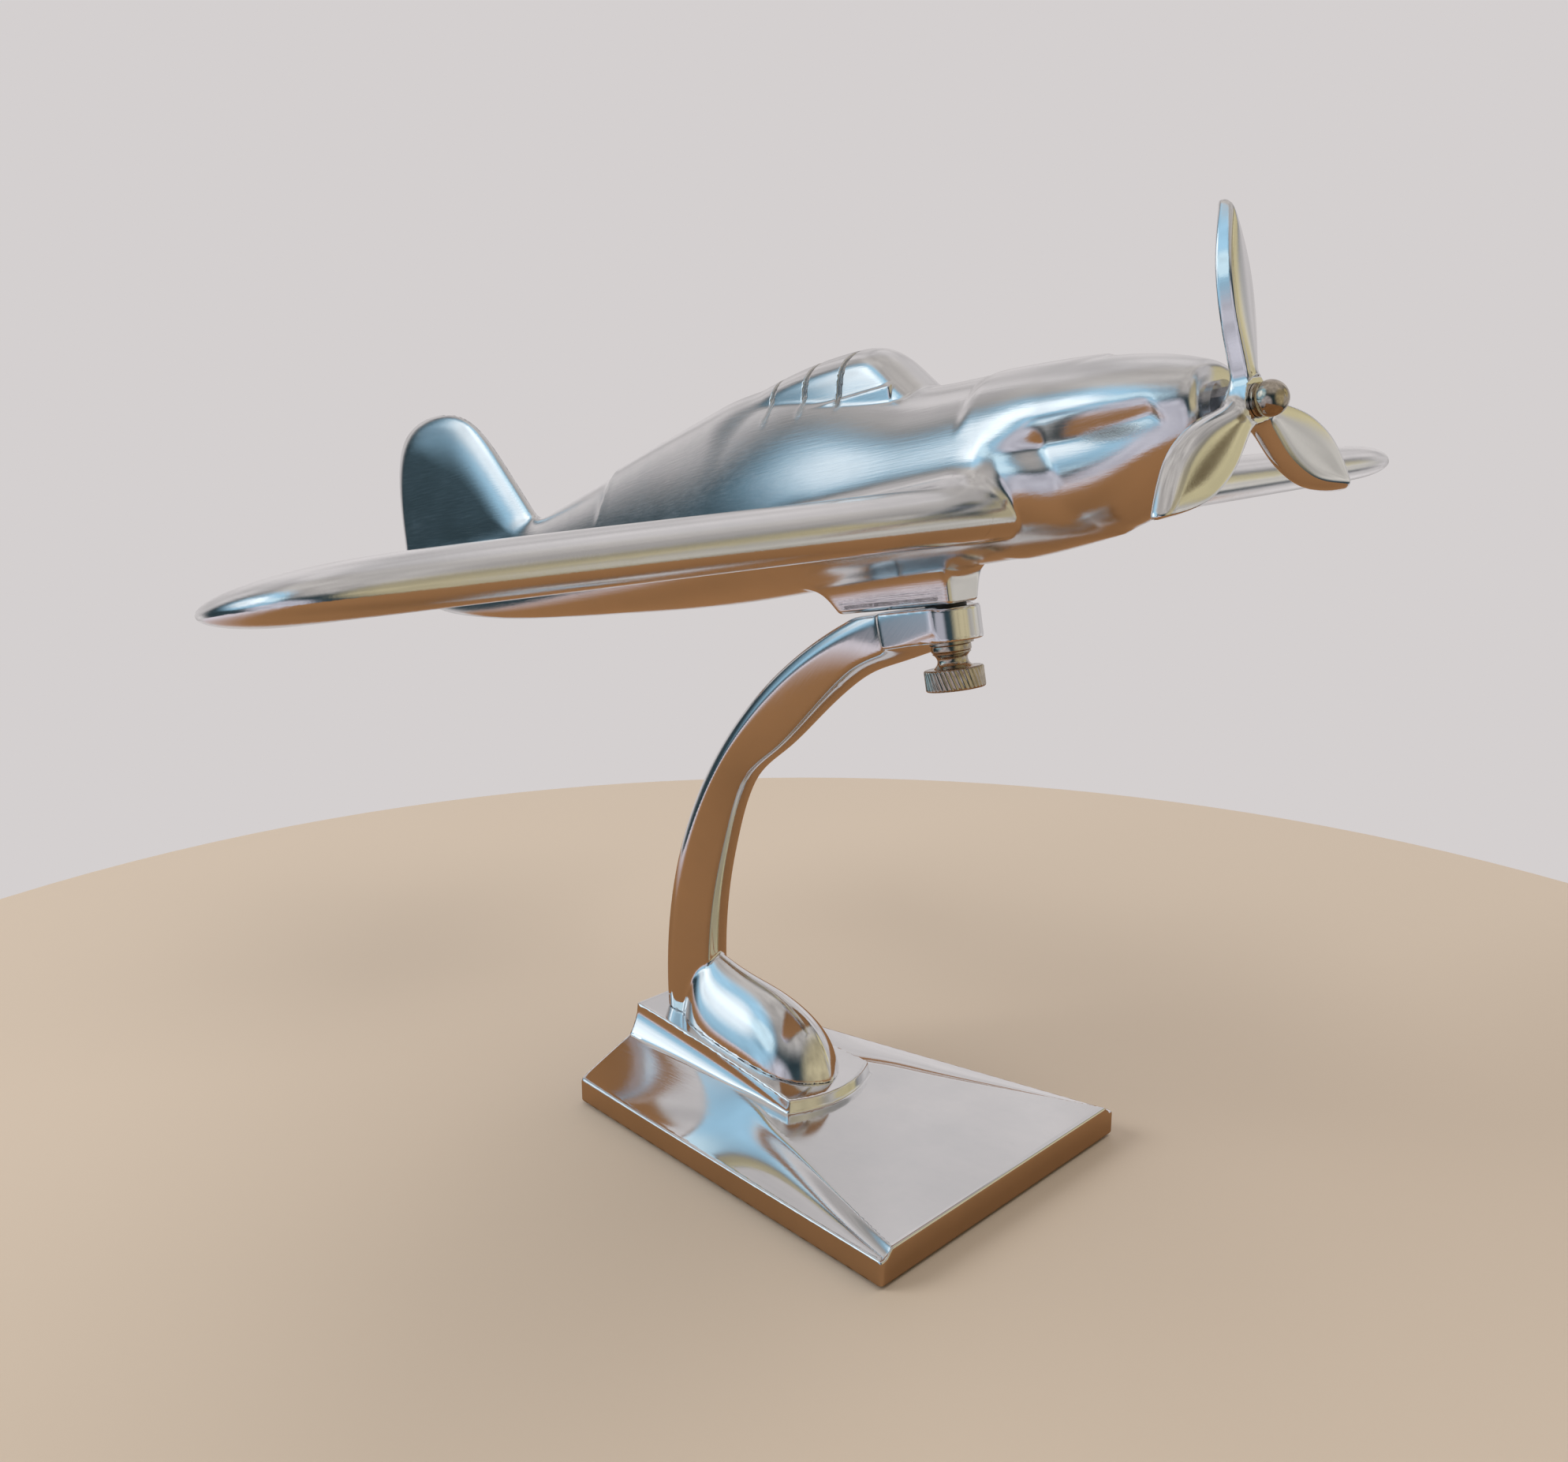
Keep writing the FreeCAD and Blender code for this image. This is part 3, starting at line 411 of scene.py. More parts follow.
CANOPY_TOP = Curve((-100, 40.2), (-80, 44.2), (-66, 46.6), (-48, 49.8), (-38, 51.6), (-28, 52.9),
                   (-16, 53.45), (-12.5, 53.4), (-9.5, 53.1), (-7, 52.4),
                   (-4, 50.5), (-0.3, 47.0), (4.5, 42.4), (9, 38.0))
CANOPY_HALF = Curve((-100, 2.4), (-66, 4.4), (-44, 6.4), (-30, 7.4), (-12, 7.8), (-4, 7.2),
                    (5, 6.0))
CANOPY_REAR, CANOPY_FRONT, CANOPY_FLOOR, CANOPY_CROWN = -100.0, 6.0, 34.0, 15.0
GROOVES = (-13.4, -24.4, -35.6)
LEDGE, LEDGE_RISE, TUMBLEHOME = 43.4, 0.045, 0.12
SKIRT, SKIRT_MIDDLE, SKIRT_HALF = 1.2, -18.5, 17.5
GROOVE_HALF, GROOVE_DEEP = 0.68, 0.95
GROOVE_LEVEL, GROOVE_LEAN = 53.0, 0.17


def off_groove(u, w, groove):
    """Distance ahead of the middle of a groove, which leans as it rises."""
    return u - groove - (w - GROOVE_LEVEL) * GROOVE_LEAN


def canopy(u, v, w):
    """Hood of flat side panels between cut grooves, running back into the spine."""
    half = CANOPY_HALF(u)
    ledge = LEDGE + LEDGE_RISE * (u + 3.0)
    side = v - half + (w - ledge) * TUMBLEHOME
    top = (w - CANOPY_TOP(u) + v * v / CANOPY_CROWN) * 0.85
    dome = smooth_max(side, top, 3.2 + 3.0 * soft_step(-30.0, -60.0, u))
    skirt = smooth_max((v - half - SKIRT + w - ledge) * 0.7, v - half - 0.4, 0.3)
    skirt = smooth_max(skirt, np.abs(u - SKIRT_MIDDLE) - SKIRT_HALF, 0.8)
    skirt = smooth_max(skirt, np.abs(w - ledge + 0.6) - 2.2, 0.5)
    dome = smooth_min(dome, skirt, 0.4)
    for groove in GROOVES:
        off = np.abs(off_groove(u, w, groove))
        slot = np.where(w > ledge - 0.4, GROOVE_HALF - off, -1.0)
        dome = smooth_max(dome, smooth_min(slot, dome + GROOVE_DEEP, 0.3), 0.35)
    dome = smooth_max(dome, CANOPY_FLOOR - w, 1.0)
    return smooth_max(smooth_max(dome, u - CANOPY_FRONT, 1.2), CANOPY_REAR - u, 1.0)


PYLON_HALF, PYLON_FRONT, PYLON_REAR = 4.5, 5.2, -27.5
PYLON_FOOT, PYLON_TOP = 0.6, 14.0


def pylon(u, v, w):
    """Drafted boss: its flanks flow into the belly, its front face stays crisp."""
    rise = w - PYLON_FOOT
    flank = (v - PYLON_HALF - rise * 0.16) * 0.987
    front = (u - PYLON_FRONT - rise * 0.14) * 0.99
    rear = (PYLON_REAR - u - rise * 0.75) * 0.8
    sides = smooth_max(smooth_max(flank, front, 2.2), rear, 3.0)
    return smooth_max(smooth_max(sides, PYLON_FOOT - w, 0.9), w - PYLON_TOP, 2.0)


def airframe(u, v, w):
    """The whole casting; the wing's upper root has the largest fillet."""
    v = np.abs(v)
    body = fuselage(u, v, w)
    wing = wing_panel(u, v, w)
    fillet = 0.8 + 11.0 * soft_step(15.0, 20.0, w) * soft_step(36.0, 26.0, u)
    body = smooth_min(body, wing, fillet)
    body = smooth_min(body, canopy(u, v, w), 0.7 + 7.0 * soft_step(-37.0, -60.0, u))
    body = smooth_min(body, fin(u, v, w), 4.0)
    body = smooth_min(body, tailplane(u, v, w), 4.0)
    return smooth_min(body, pylon(u, v, w), 4.5)


AIRFRAME_BOX = ((-217, -151, -1), (70, 151, 70))
DETAIL_BOX = ((-48, -20, 1), (70, 20, 56))         # canopy, cowling and wing roots
points, quads, normals = patched_mesh(airframe, *AIRFRAME_BOX, AIRFRAME_STEP,
                                      *DETAIL_BOX, DETAIL_STEP)
airframe_piece = new_piece("airframe_casting", points, quads, normals, PLANE)

# Places that the polishing wheel didn't reach: (middle, half size) in millimetres.
RAW_PLACES = (((-14.8, 8.0, 43.2), (1.1, 1.6, 1.6)), ((-26.0, 8.0, 42.6), (1.1, 1.6, 1.8)),
              ((-37.4, 7.6, 42.2), (1.2, 1.6, 2.0)), ((53.0, 10.6, 27.4), (6.0, 2.0, 1.3)),
              ((20.0, 15.5, 12.2), (9.0, 2.2, 0.8)), ((-12.0, 14.5, 12.0), (16.0, 1.8, 0.6)))
GROOVE_RAW = 0.7
raw = np.zeros(len(points))
for middle, half in RAW_PLACES:
    off = (np.stack([points[:, 0], np.abs(points[:, 1]), points[:, 2]], 1) - middle) / half
    raw = np.maximum(raw, np.exp(-(off ** 2).sum(axis=1) ** 1.5))
for groove in GROOVES:
    off = off_groove(points[:, 0], points[:, 2], groove) / GROOVE_HALF
    above = soft_step(LEDGE - 1.2, LEDGE, points[:, 2])
    raw = np.maximum(raw, GROOVE_RAW * above * np.exp(-off ** 4))
layer = airframe_piece.data.attributes.new("raw_casting", "FLOAT", "POINT")
layer.data.foreach_set("value", raw.astype(np.float32))

# ------------------------------------------------------------------ curved arm

# The arm's back is an arc in the stand's plane of symmetry.
ARC_X, ARC_Z = 65.9, 24.0
# Radii of the arm's outer and inner edges against degrees up the arc.
ARM_OUTER = Curve((-10, 112.4), (0, 112.9), (15, 113.7), (30, 113.8), (45, 113.2), (60, 112.3),
                  (72, 111.5))
ARM_INNER = Curve((-10, 98.6), (0, 98.9), (6, 99.6), (17.3, 101.3), (23.3, 102.4), (29.4, 103.8),
                  (33, 103.9), (39.1, 101.4), (46.5, 100.3), (53, 100.6), (58, 100.6), (63, 99.6),
                  (72, 99.4))
ARM_BACK_HALF = Curve((-10, 6.2), (30, 5.9), (44, 6.0), (54, 6.3), (62, 6.7), (75, 6.8))
ARM_INNER_HALF = Curve((-10, 3.6), (12, 3.0), (28, 2.4), (40, 2.8), (52, 3.8), (62, 5.6),
                       (75, 6.4))
CHAMFER_DEEP, CHAMFER_SLOPE = 3.4, 0.36
BACK_CROWN, INNER_CROWN = 40.0, 14.0
ARM_FLOOR = 8.0
# Ball-shaped scoops in both flanks near the head: (x, z, radius), at this y, flattened.
SCALLOPS = ((8.4, 104.0, 3.4), (19.2, 110.0, 3.2))
SCALLOP_OUT, SCALLOP_FLAT = 5.6, 0.9

HEAD_HALF, HEAD_THICK, HEAD_REAR = 6.8, 6.8, -12.0
STUD_BORE = 2.05
SEAT_REAR, SEAT_FRONT = (-51.3, 20.1), (5.4, 12.2)
FOOT_TOP = Curve((-46, 29), (-36, 28), (-30.8, 25.6), (-15.4, 21.8), (-5.5, 18.6), (-0.6, 16.6),
                 (3.7, 13.6))
FOOT_HALF = Curve((-46, 6.4), (-36, 9.0), (-24, 10.4), (-12, 10.8), (-3, 10.4), (3.7, 9.0))
FOOT_REAR, FOOT_TIP = -46.0, 3.7
RIDGE = 3.2
RISE_POWER, LENGTH_POWER = 2.2, 4.6


def seat_level(x):
    """Height of the sloping seat that the arm's foot stands on."""
    slope = (SEAT_FRONT[1] - SEAT_REAR[1]) / (SEAT_FRONT[0] - SEAT_REAR[0])
    return SEAT_REAR[1] + slope * (x - SEAT_REAR[0])


def shaft(x, y, z):
    """Flat sides that converge to the inner edge; a chamfered and crowned back."""
    turn = np.degrees(np.arctan2(z - ARC_Z, ARC_X - x))
    radius = np.hypot(z - ARC_Z, ARC_X - x)
    inner = ARM_INNER(turn)
    back_half, inner_half = ARM_BACK_HALF(turn), ARM_INNER_HALF(turn)
    outer = ARM_OUTER(turn)
    widest = outer - CHAMFER_DEEP
    t = np.clip((radius - inner) / (widest - inner), 0.0, 1.4)
    side = (y - inner_half - (back_half - inner_half) * t + 0.5 * (t - 0.5) ** 2) * 0.95
    chamfer = (y - back_half + (radius - widest) * CHAMFER_SLOPE) * 0.94
    back = radius - outer + y * y / BACK_CROWN
    front = inner - radius + y * y / INNER_CROWN
    flank = smooth_max(side, chamfer, 0.7)
    body = smooth_max(smooth_max(flank, back, 1.6), front, 0.9)
    return smooth_max(body, ARM_FLOOR - z, 0.5)


def foot(x, y, z):
    """Pebble that tapers to the front, with a soft ridge along its top."""
    middle, half = (FOOT_REAR + FOOT_TIP) / 2, (FOOT_TIP - FOOT_REAR) / 2
    along = (x - middle) / half
    spread = np.sqrt(y * y + 0.25) + RIDGE
    across = spread / (FOOT_HALF(x) + RIDGE)
    rise = (z - ARM_FLOOR) / (FOOT_TOP(x) * 1.05)
    total = across ** 2 + np.abs(rise) ** RISE_POWER + np.abs(along) ** LENGTH_POWER
    slope = np.sqrt((2 * across / (FOOT_HALF(x) + RIDGE)) ** 2 + (2 * rise / FOOT_TOP(x)) ** 2
                    + (LENGTH_POWER * np.abs(along) ** 3.6 / half) ** 2) + 1e-6
    return (total - 1.0) / slope


def to_head(x, z):
    """Along and above the clamp point, in the arm head's own directions."""
    across, rise = x - clamp_point.x / MM, z - clamp_point.z / MM
    return (across * head_way.x + rise * head_way.z, across * plane_up.x + rise * plane_up.z)


def stand_arm(x, y, z):
    """Shaft, foot and flat head in one casting, bored for the clamp stud."""
    y = np.abs(y)
    ahead, above = to_head(x, z)
    head = np.hypot(np.maximum(ahead, 0.0), y) - HEAD_HALF
    head = smooth_max(head, np.abs(above + HEAD_THICK / 2) - HEAD_THICK / 2, 0.9)
    head = smooth_max(head, HEAD_REAR - ahead, 1.0)
    arm = shaft(x, y, z)
    arm = smooth_max(arm, above, 0.8)
    arm = smooth_max(arm, ahead - 1.0, 1.0)
    arm = smooth_min(arm, head, 2.6)
    for at_x, at_z, size in SCALLOPS:
        scoop = size - np.sqrt((x - at_x) ** 2 + (z - at_z) ** 2
                               + ((y - SCALLOP_OUT) * SCALLOP_FLAT) ** 2)
        arm = smooth_max(arm, scoop, 0.5)
    casting = smooth_min(arm, foot(x, y, z), 0.9)
    casting = np.maximum(casting, STUD_BORE - np.hypot(ahead, y))
    return smooth_max(casting, seat_level(x) - z, 0.5)


ARM_BOX = ((-48, -13, 10), (41, 13, 128))
points, quads, normals = implicit_mesh(stand_arm, *ARM_BOX, FINE_STEP)
arm_piece = new_piece("arm_casting", points, quads, normals, STAND)

# ------------------------------------------------------------------ base plate

BASE_HALF_LONG = 51.3
BASE_HALF = Curve((-51.3, 29.4), (51.3, 42.3))
CREST_HALF = Curve((-51.3, 11.0), (-30, 11.5), (-10, 14.0), (2.1, 20.4), (10.1, 23.4),
                   (30.3, 31.2), (51.3, 39.0))
CREST_TOP = Curve((-51.3, 13.4), (-25, 11.4), (1.4, 9.6), (25, 8.7), (51.3, 8.1))
COVE_POWER = Curve((-51.3, 0.95), (-24, 1.3), (8, 2.3), (51.3, 2.8))
EDGE_TOP, FELT_TOP = 6.3, 0.8
CREST_SOFT, CREST_SHIFT = 0.006, 0.02
SEAT_HALF = Curve((-51.3, 11.4), (1.4, 14.4), (5.4, 14.9))
SEAT_NOSE, SEAT_BULGE, SEAT_WIDE = 1.4, 4.0, 14.9
FLARE_TALL, FLARE_SIDE, FLARE_FRONT = 7.0, 2.4, 0.9


def plate_top(x, y):
    """Height of the plate: level out to the crest, then a cove down to the edge."""
    crest, edge = CREST_HALF(x), BASE_HALF(x)
    t = (y - crest) / (edge - crest)
    t = np.clip(0.5 * (t + np.sqrt(t * t + CREST_SOFT)) - CREST_SHIFT, 0.0, 1.0)
    cove = (1.0 - t) ** COVE_POWER(x)
    return EDGE_TOP + (CREST_TOP(x) - EDGE_TOP) * cove


def base_plate(x, y, z):
    """Tapered plate with the arm's wedge-shaped seat, which flares at its foot."""
    y = np.abs(y)
    side = (y - BASE_HALF(x)) * 0.99
    ends = np.abs(x) - BASE_HALF_LONG
    plan = smooth_max(side, ends, 1.4)
    top = (z - plate_top(x, y)) * 0.93
    plate = smooth_max(plan, top, 1.1)
    level = seat_level(x)
    flare = np.clip((level - z) / FLARE_TALL, 0.0, 1.0)
    wall = (y - SEAT_HALF(x) - FLARE_SIDE * flare ** 2 + 0.5) * 0.93
    bulge = SEAT_BULGE * (1.0 - (y / SEAT_WIDE) ** 2)
    front = (x - SEAT_NOSE - bulge - FLARE_FRONT * flare) * 0.93
    seat = smooth_max(smooth_max(wall, front, 0.7), (z - level) * 0.99, 0.6)
    seat = smooth_max(seat, ends, 1.4)
    body = smooth_min(plate, seat, 0.8)
    return smooth_max(body, FELT_TOP - z, 0.6)


BASE_BOX = ((-53, -44, -1), (53, 44, 22))
points, quads, normals = implicit_mesh(base_plate, *BASE_BOX, FINE_STEP)
base_piece = new_piece("base_casting", points, quads, normals, STAND)

# ------------------------------------------------------------------- propeller

HUB_RADIUS, HUB_HALF = 3.3, 2.0
HUB_FACE, HUB_FLAT = 1.95, 3.9            # faces kept clear of the washers and nuts
AXLE_BORE = 1.55
BLADES, BLADE_END = 3, 32.7
BLADE_PITCH = math.radians(-12.0)
BLADE_HALF = Curve((0, 2.6), (5, 3.0), (9, 4.0), (13, 4.9), (18, 5.2), (22, 4.8), (26, 3.6),
                   (29.5, 2.1), (32.4, 0.6))
BLADE_THICK_HALF = Curve((0, 2.1), (16, 2.0), (26, 1.8), (34, 1.4))
BEVEL = math.radians(45.0)
BEVEL_WIDE = 1.9
FACE_CROWN = 0.24


def blade(ahead, across, out):
    """Thick leaf with a flat face, bevelled along the side that trails in the climb."""
    chord = across * math.cos(BLADE_PITCH) + ahead * math.sin(BLADE_PITCH)
    face = -across * math.sin(BLADE_PITCH) + ahead * math.cos(BLADE_PITCH)
    half, thick = BLADE_HALF(out), BLADE_THICK_HALF(out)
    sides = np.abs(chord) * 0.94 - half * 0.94
    crown = FACE_CROWN * np.clip(chord / half, -1.2, 1.2) ** 2
    faces = np.abs(face) - thick * (1.0 - crown)
    bevel = (chord - half + BEVEL_WIDE) * math.sin(BEVEL) + (face - thick) * math.cos(BEVEL)
    leaf = smooth_max(smooth_max(sides, faces, 0.8), bevel, 1.4)
    return smooth_max(smooth_max(leaf, out - BLADE_END, 1.0), -out, 0.5)


def propeller(ahead, port, up):
    """Blades blended into a round hub, with flat hub faces and the axle's bore."""
    body = smooth_max(np.hypot(port, up) - HUB_RADIUS, np.abs(ahead) - HUB_HALF, 0.8)
    for number in range(BLADES):
        turn = math.tau * number / BLADES
        across = port * math.cos(turn) + up * math.sin(turn)
        out = -port * math.sin(turn) + up * math.cos(turn)
        body = smooth_min(body, blade(ahead, across, out), 3.0)
    beyond = np.maximum(np.hypot(port, up) - HUB_FLAT, 0.0)
    body = np.maximum(body, np.abs(ahead) - HUB_FACE - 2.0 * beyond)
    return np.maximum(body, AXLE_BORE - np.hypot(port, up))


PROPELLER_BOX = ((-6, -31, -19), (6, 31, 34))
points, quads, normals = implicit_mesh(propeller, *PROPELLER_BOX, FINE_STEP * 0.6)
propeller_piece = new_piece("propeller_casting", points, quads, normals, THRUST)

# ------------------------------------------------------------------- thumb nut

KNURLS, KNURL_DEEP, KNURL_TWIST = 36, 0.34, 1.35
NUT_BORE = STUD_BORE


def lathe(name, profile, segments, matrix, ripple=None):
    """Closed ring of quads: a smooth (radius, height) profile turned about its own up."""
    profile = np.array(profile, float)
    angles = np.arange(segments) * math.tau / segments
    radius = np.repeat(profile[:, :1], segments, axis=1)
    height = np.repeat(profile[:, 1:], segments, axis=1)
    if ripple is not None:
        radius = radius - ripple(angles[None, :], height, radius)
    points = np.stack([radius * np.cos(angles), radius * np.sin(angles), height], -1)
    rows, columns = np.meshgrid(np.arange(len(profile)), np.arange(segments), indexing="ij")
    next_row, next_column = (rows + 1) % len(profile), (columns + 1) % segments
    corners = ((rows, columns), (rows, next_column), (next_row, next_column), (next_row, columns))
    quads = np.stack([r * segments + c for r, c in corners], -1).reshape(-1, 4)
    return new_piece(name, points.reshape(-1, 3), quads, None, matrix)


def run(start, end, count):
    """Evenly spaced points from start up to, but not including, end."""
    reach = end[0] - start[0], end[1] - start[1]
    return [(start[0] + reach[0] * i / count, start[1] + reach[1] * i / count)
            for i in range(count)]


def arc(centre, radius, first, last, count):
    """Points on an arc between two angles in degrees, both ends included."""
    angles = [math.radians(first + (last - first) * i / (count - 1)) for i in range(count)]
    return [(centre[0] + radius * math.cos(a), centre[1] + radius * math.sin(a)) for a in angles]


COLLAR_TALL, WAIST_TALL, DISC_TALL = 1.6, 3.2, 4.4
NUT_TOP = -7.4
COLLAR_LOW = NUT_TOP - COLLAR_TALL
DISC_TOP = COLLAR_LOW - WAIST_TALL
DISC_LOW = DISC_TOP - DISC_TALL
COLLAR_RADIUS, WAIST_RADIUS, DISC_RADIUS = 4.1, 3.1, 6.1


def knurl(angle, height, radius):
    """Slanted grooves on the wall of the disc only."""
    on_wall = np.clip((radius - (DISC_RADIUS - 0.5)) / 0.4, 0.0, 1.0)
    on_wall = on_wall * (height < DISC_TOP + 0.01)
    slant = (height - DISC_LOW) / DISC_TALL * math.tau * KNURL_TWIST
    wave = np.abs(np.sin((angle * KNURLS + slant) / 2.0))
    wander = 0.75 + 0.25 * np.sin(angle * 5.0 + 1.0) * np.sin(angle * 3.0 + height)
    return KNURL_DEEP * on_wall * wander * (1.0 - wave ** 0.8)


waist_middle = (COLLAR_LOW + DISC_TOP) / 2
nut_profile = (run((NUT_BORE, NUT_TOP), (COLLAR_RADIUS - 0.4, NUT_TOP), 3)
               + arc((COLLAR_RADIUS - 0.4, NUT_TOP - 0.4), 0.4, 90, 0, 5)
               + arc((COLLAR_RADIUS - 0.4, COLLAR_LOW + 0.4), 0.4, 0, -80, 5)
               + arc((WAIST_RADIUS + 1.5, waist_middle), 1.5, 115, 245, 14)
               + run((WAIST_RADIUS + 1.1, DISC_TOP), (DISC_RADIUS - 0.5, DISC_TOP), 3)
               + arc((DISC_RADIUS - 0.45, DISC_TOP - 0.45), 0.45, 90, 0, 6)
               + run((DISC_RADIUS, DISC_TOP - 0.6), (DISC_RADIUS, DISC_LOW + 0.6), 24)
               + arc((DISC_RADIUS - 0.45, DISC_LOW + 0.45), 0.45, 0, -90, 6)
               + run((DISC_RADIUS - 0.8, DISC_LOW), (NUT_BORE, DISC_LOW), 4)
               + run((NUT_BORE, DISC_LOW), (NUT_BORE, NUT_TOP), 6))
nut_piece = lathe("thumb_nut_turned", nut_profile[::-1], KNURLS * 10, PLANE, knurl)

# ------------------------------------------------------------------- materials

# Sockets of the Mix node in its colour mode, which share one name.
MIX_FIRST, MIX_SECOND, MIX_RESULT = 6, 7, 2


def node_tree(name):
    material = bpy.data.materials.new(name)
    material.use_nodes = True
    return material, material.node_tree.nodes, material.node_tree.links


def stretched(nodes, links, turn, scale):
    """Object coordinates turned into a part's own directions, then scaled per axis."""
    coords = nodes.new("ShaderNodeTexCoord")
    mapping = nodes.new("ShaderNodeMapping")
    mapping.vector_type = "TEXTURE"
    mapping.inputs["Rotation"].default_value = turn
    mapping.inputs["Scale"].default_value = [1.0 / s for s in scale]
    links.new(coords.outputs["Object"], mapping.inputs["Vector"])
    return mapping.outputs["Vector"]


def noise(nodes, links, vector, scale, detail, roughness=0.5):
    texture = nodes.new("ShaderNodeTexNoise")
    texture.inputs["Scale"].default_value = scale
    texture.inputs["Detail"].default_value = detail
    texture.inputs["Roughness"].default_value = roughness
    links.new(vector, texture.inputs["Vector"])
    return texture.outputs["Fac"]


def remap(nodes, links, value, low, high, to_low, to_high):
    """A value carried from the range low..high to to_low..to_high, and held there."""
    node = nodes.new("ShaderNodeMapRange")
    node.inputs["From Min"].default_value = low
    node.inputs["From Max"].default_value = high
    node.inputs["To Min"].default_value = to_low
    node.inputs["To Max"].default_value = to_high
    links.new(value, node.inputs["Value"])
    return node.outputs["Result"]


def maths(nodes, links, operation, a, b):
    node = nodes.new("ShaderNodeMath")
    node.operation = operation
    for socket, value in zip(node.inputs, (a, b)):
        if isinstance(value, (int, float)):
            socket.default_value = value
        else:
            links.new(value, socket)
    return node.outputs["Value"]


def bump(nodes, links, height, strength, distance, under=None):
    node = nodes.new("ShaderNodeBump")
    node.inputs["Strength"].default_value = strength
    node.inputs["Distance"].default_value = distance
    links.new(height, node.inputs["Height"])
    if under is not None:
        links.new(under, node.inputs["Normal"])
    return node.outputs["Normal"]


def blend(nodes, links, fac, first, second):
    node = nodes.new("ShaderNodeMix")
    node.data_type = "RGBA"
    links.new(fac, node.inputs["Factor"])
    for index, colour in ((MIX_FIRST, first), (MIX_SECOND, second)):
        if isinstance(colour, tuple):
            node.inputs[index].default_value = (*colour, 1.0)
        else:
            links.new(colour, node.inputs[index])
    return node.outputs[MIX_RESULT]


PLANE_TURN = PLANE.to_euler()


def polished_aluminium(name, turn, low_rough, high_rough, waviness, scratch):
    """Hand-polished casting: buffing lines, faint waves, haze, raw spots in corners."""
    material, nodes, links = node_tree(name)
    shader = nodes["Principled BSDF"]
    shader.inputs["Metallic"].default_value = 1.0
    even = stretched(nodes, links, turn, (1.0, 1.0, 1.0))
    lines = stretched(nodes, links, turn, (1.0, 26.0, 26.0))
    haze = noise(nodes, links, even, 55.0, 4.0, 0.6)
    buffing = noise(nodes, links, lines, 95.0, 5.0, 0.7)
    waves = noise(nodes, links, even, 34.0, 1.0)
    grain = noise(nodes, links, even, 1500.0, 3.0, 0.7)
    raw_mask = nodes.new("ShaderNodeAttribute")
    raw_mask.attribute_name = "raw_casting"
    raw = raw_mask.outputs["Fac"]
    tint = blend(nodes, links, remap(nodes, links, haze, 0.35, 0.7, 0.0, 1.0),
                 (0.885, 0.885, 0.89), (0.82, 0.83, 0.84))
    tint = blend(nodes, links, raw, tint, (0.50, 0.49, 0.47))
    links.new(tint, shader.inputs["Base Color"])
    rough = remap(nodes, links, maths(nodes, links, "ADD", haze, buffing), 0.75, 1.3,
                  low_rough, high_rough)
    rough = maths(nodes, links, "ADD", rough, maths(nodes, links, "MULTIPLY", raw, 0.32))
    links.new(rough, shader.inputs["Roughness"])
    surface = bump(nodes, links, waves, waviness, 0.0006)
    surface = bump(nodes, links, buffing, scratch, 0.00002, surface)
    pitted = maths(nodes, links, "MULTIPLY", grain, raw)
    surface = bump(nodes, links, pitted, 0.6, 0.0004, surface)
    links.new(surface, shader.inputs["Normal"])
    return material


def plated(name, first, second, low_rough, high_rough, scale):
    """Machined hardware: lathe lines and a little tarnish in patches."""
    material, nodes, links = node_tree(name)
    shader = nodes["Principled BSDF"]
    shader.inputs["Metallic"].default_value = 1.0
    even = stretched(nodes, links, PLANE_TURN, (1.0, 1.0, 1.0))
    lines = stretched(nodes, links, PLANE_TURN, (1.0, 1.0, 14.0))
    patches = noise(nodes, links, even, 420.0, 4.0, 0.6)
    turning = noise(nodes, links, lines, scale, 3.0, 0.6)
    tarnish = remap(nodes, links, patches, 0.4, 0.68, 0.0, 1.0)
    links.new(blend(nodes, links, tarnish, first, second), shader.inputs["Base Color"])
    links.new(remap(nodes, links, patches, 0.3, 0.7, low_rough, high_rough),
              shader.inputs["Roughness"])
    links.new(bump(nodes, links, turning, 0.12, 0.00003), shader.inputs["Normal"])
    return material


def felt_cloth(name):
    """Short matted fibres, darker where they lie flat."""
    material, nodes, links = node_tree(name)
    shader = nodes["Principled BSDF"]
    even = stretched(nodes, links, (0.0, 0.0, 0.0), (1.0, 1.0, 1.0))
    fibres = noise(nodes, links, even, 1400.0, 6.0, 0.75)
    tufts = noise(nodes, links, even, 160.0, 3.0, 0.6)
    fac = maths(nodes, links, "MULTIPLY", fibres, tufts)
    links.new(blend(nodes, links, remap(nodes, links, fac, 0.12, 0.42, 0.0, 1.0),
                    (0.012, 0.013, 0.014), (0.045, 0.047, 0.05)), shader.inputs["Base Color"])
    links.new(remap(nodes, links, fibres, 0.2, 0.8, 0.85, 1.0), shader.inputs["Roughness"])
    links.new(bump(nodes, links, fibres, 0.8, 0.0003), shader.inputs["Normal"])
    shader.inputs["Sheen Weight"].default_value = 0.25
    return material


def fibre_washer(name):
    """Pressed black fibre, a little glossy where it is rubbed."""
    material, nodes, links = node_tree(name)
    shader = nodes["Principled BSDF"]
    even = stretched(nodes, links, PLANE_TURN, (1.0, 1.0, 1.0))
    grain = noise(nodes, links, even, 2200.0, 4.0, 0.7)
    links.new(blend(nodes, links, grain, (0.010, 0.010, 0.011), (0.035, 0.033, 0.032)),
              shader.inputs["Base Color"])
    links.new(remap(nodes, links, grain, 0.3, 0.7, 0.38, 0.6), shader.inputs["Roughness"])
    links.new(bump(nodes, links, grain, 0.4, 0.00008), shader.inputs["Normal"])
    return material


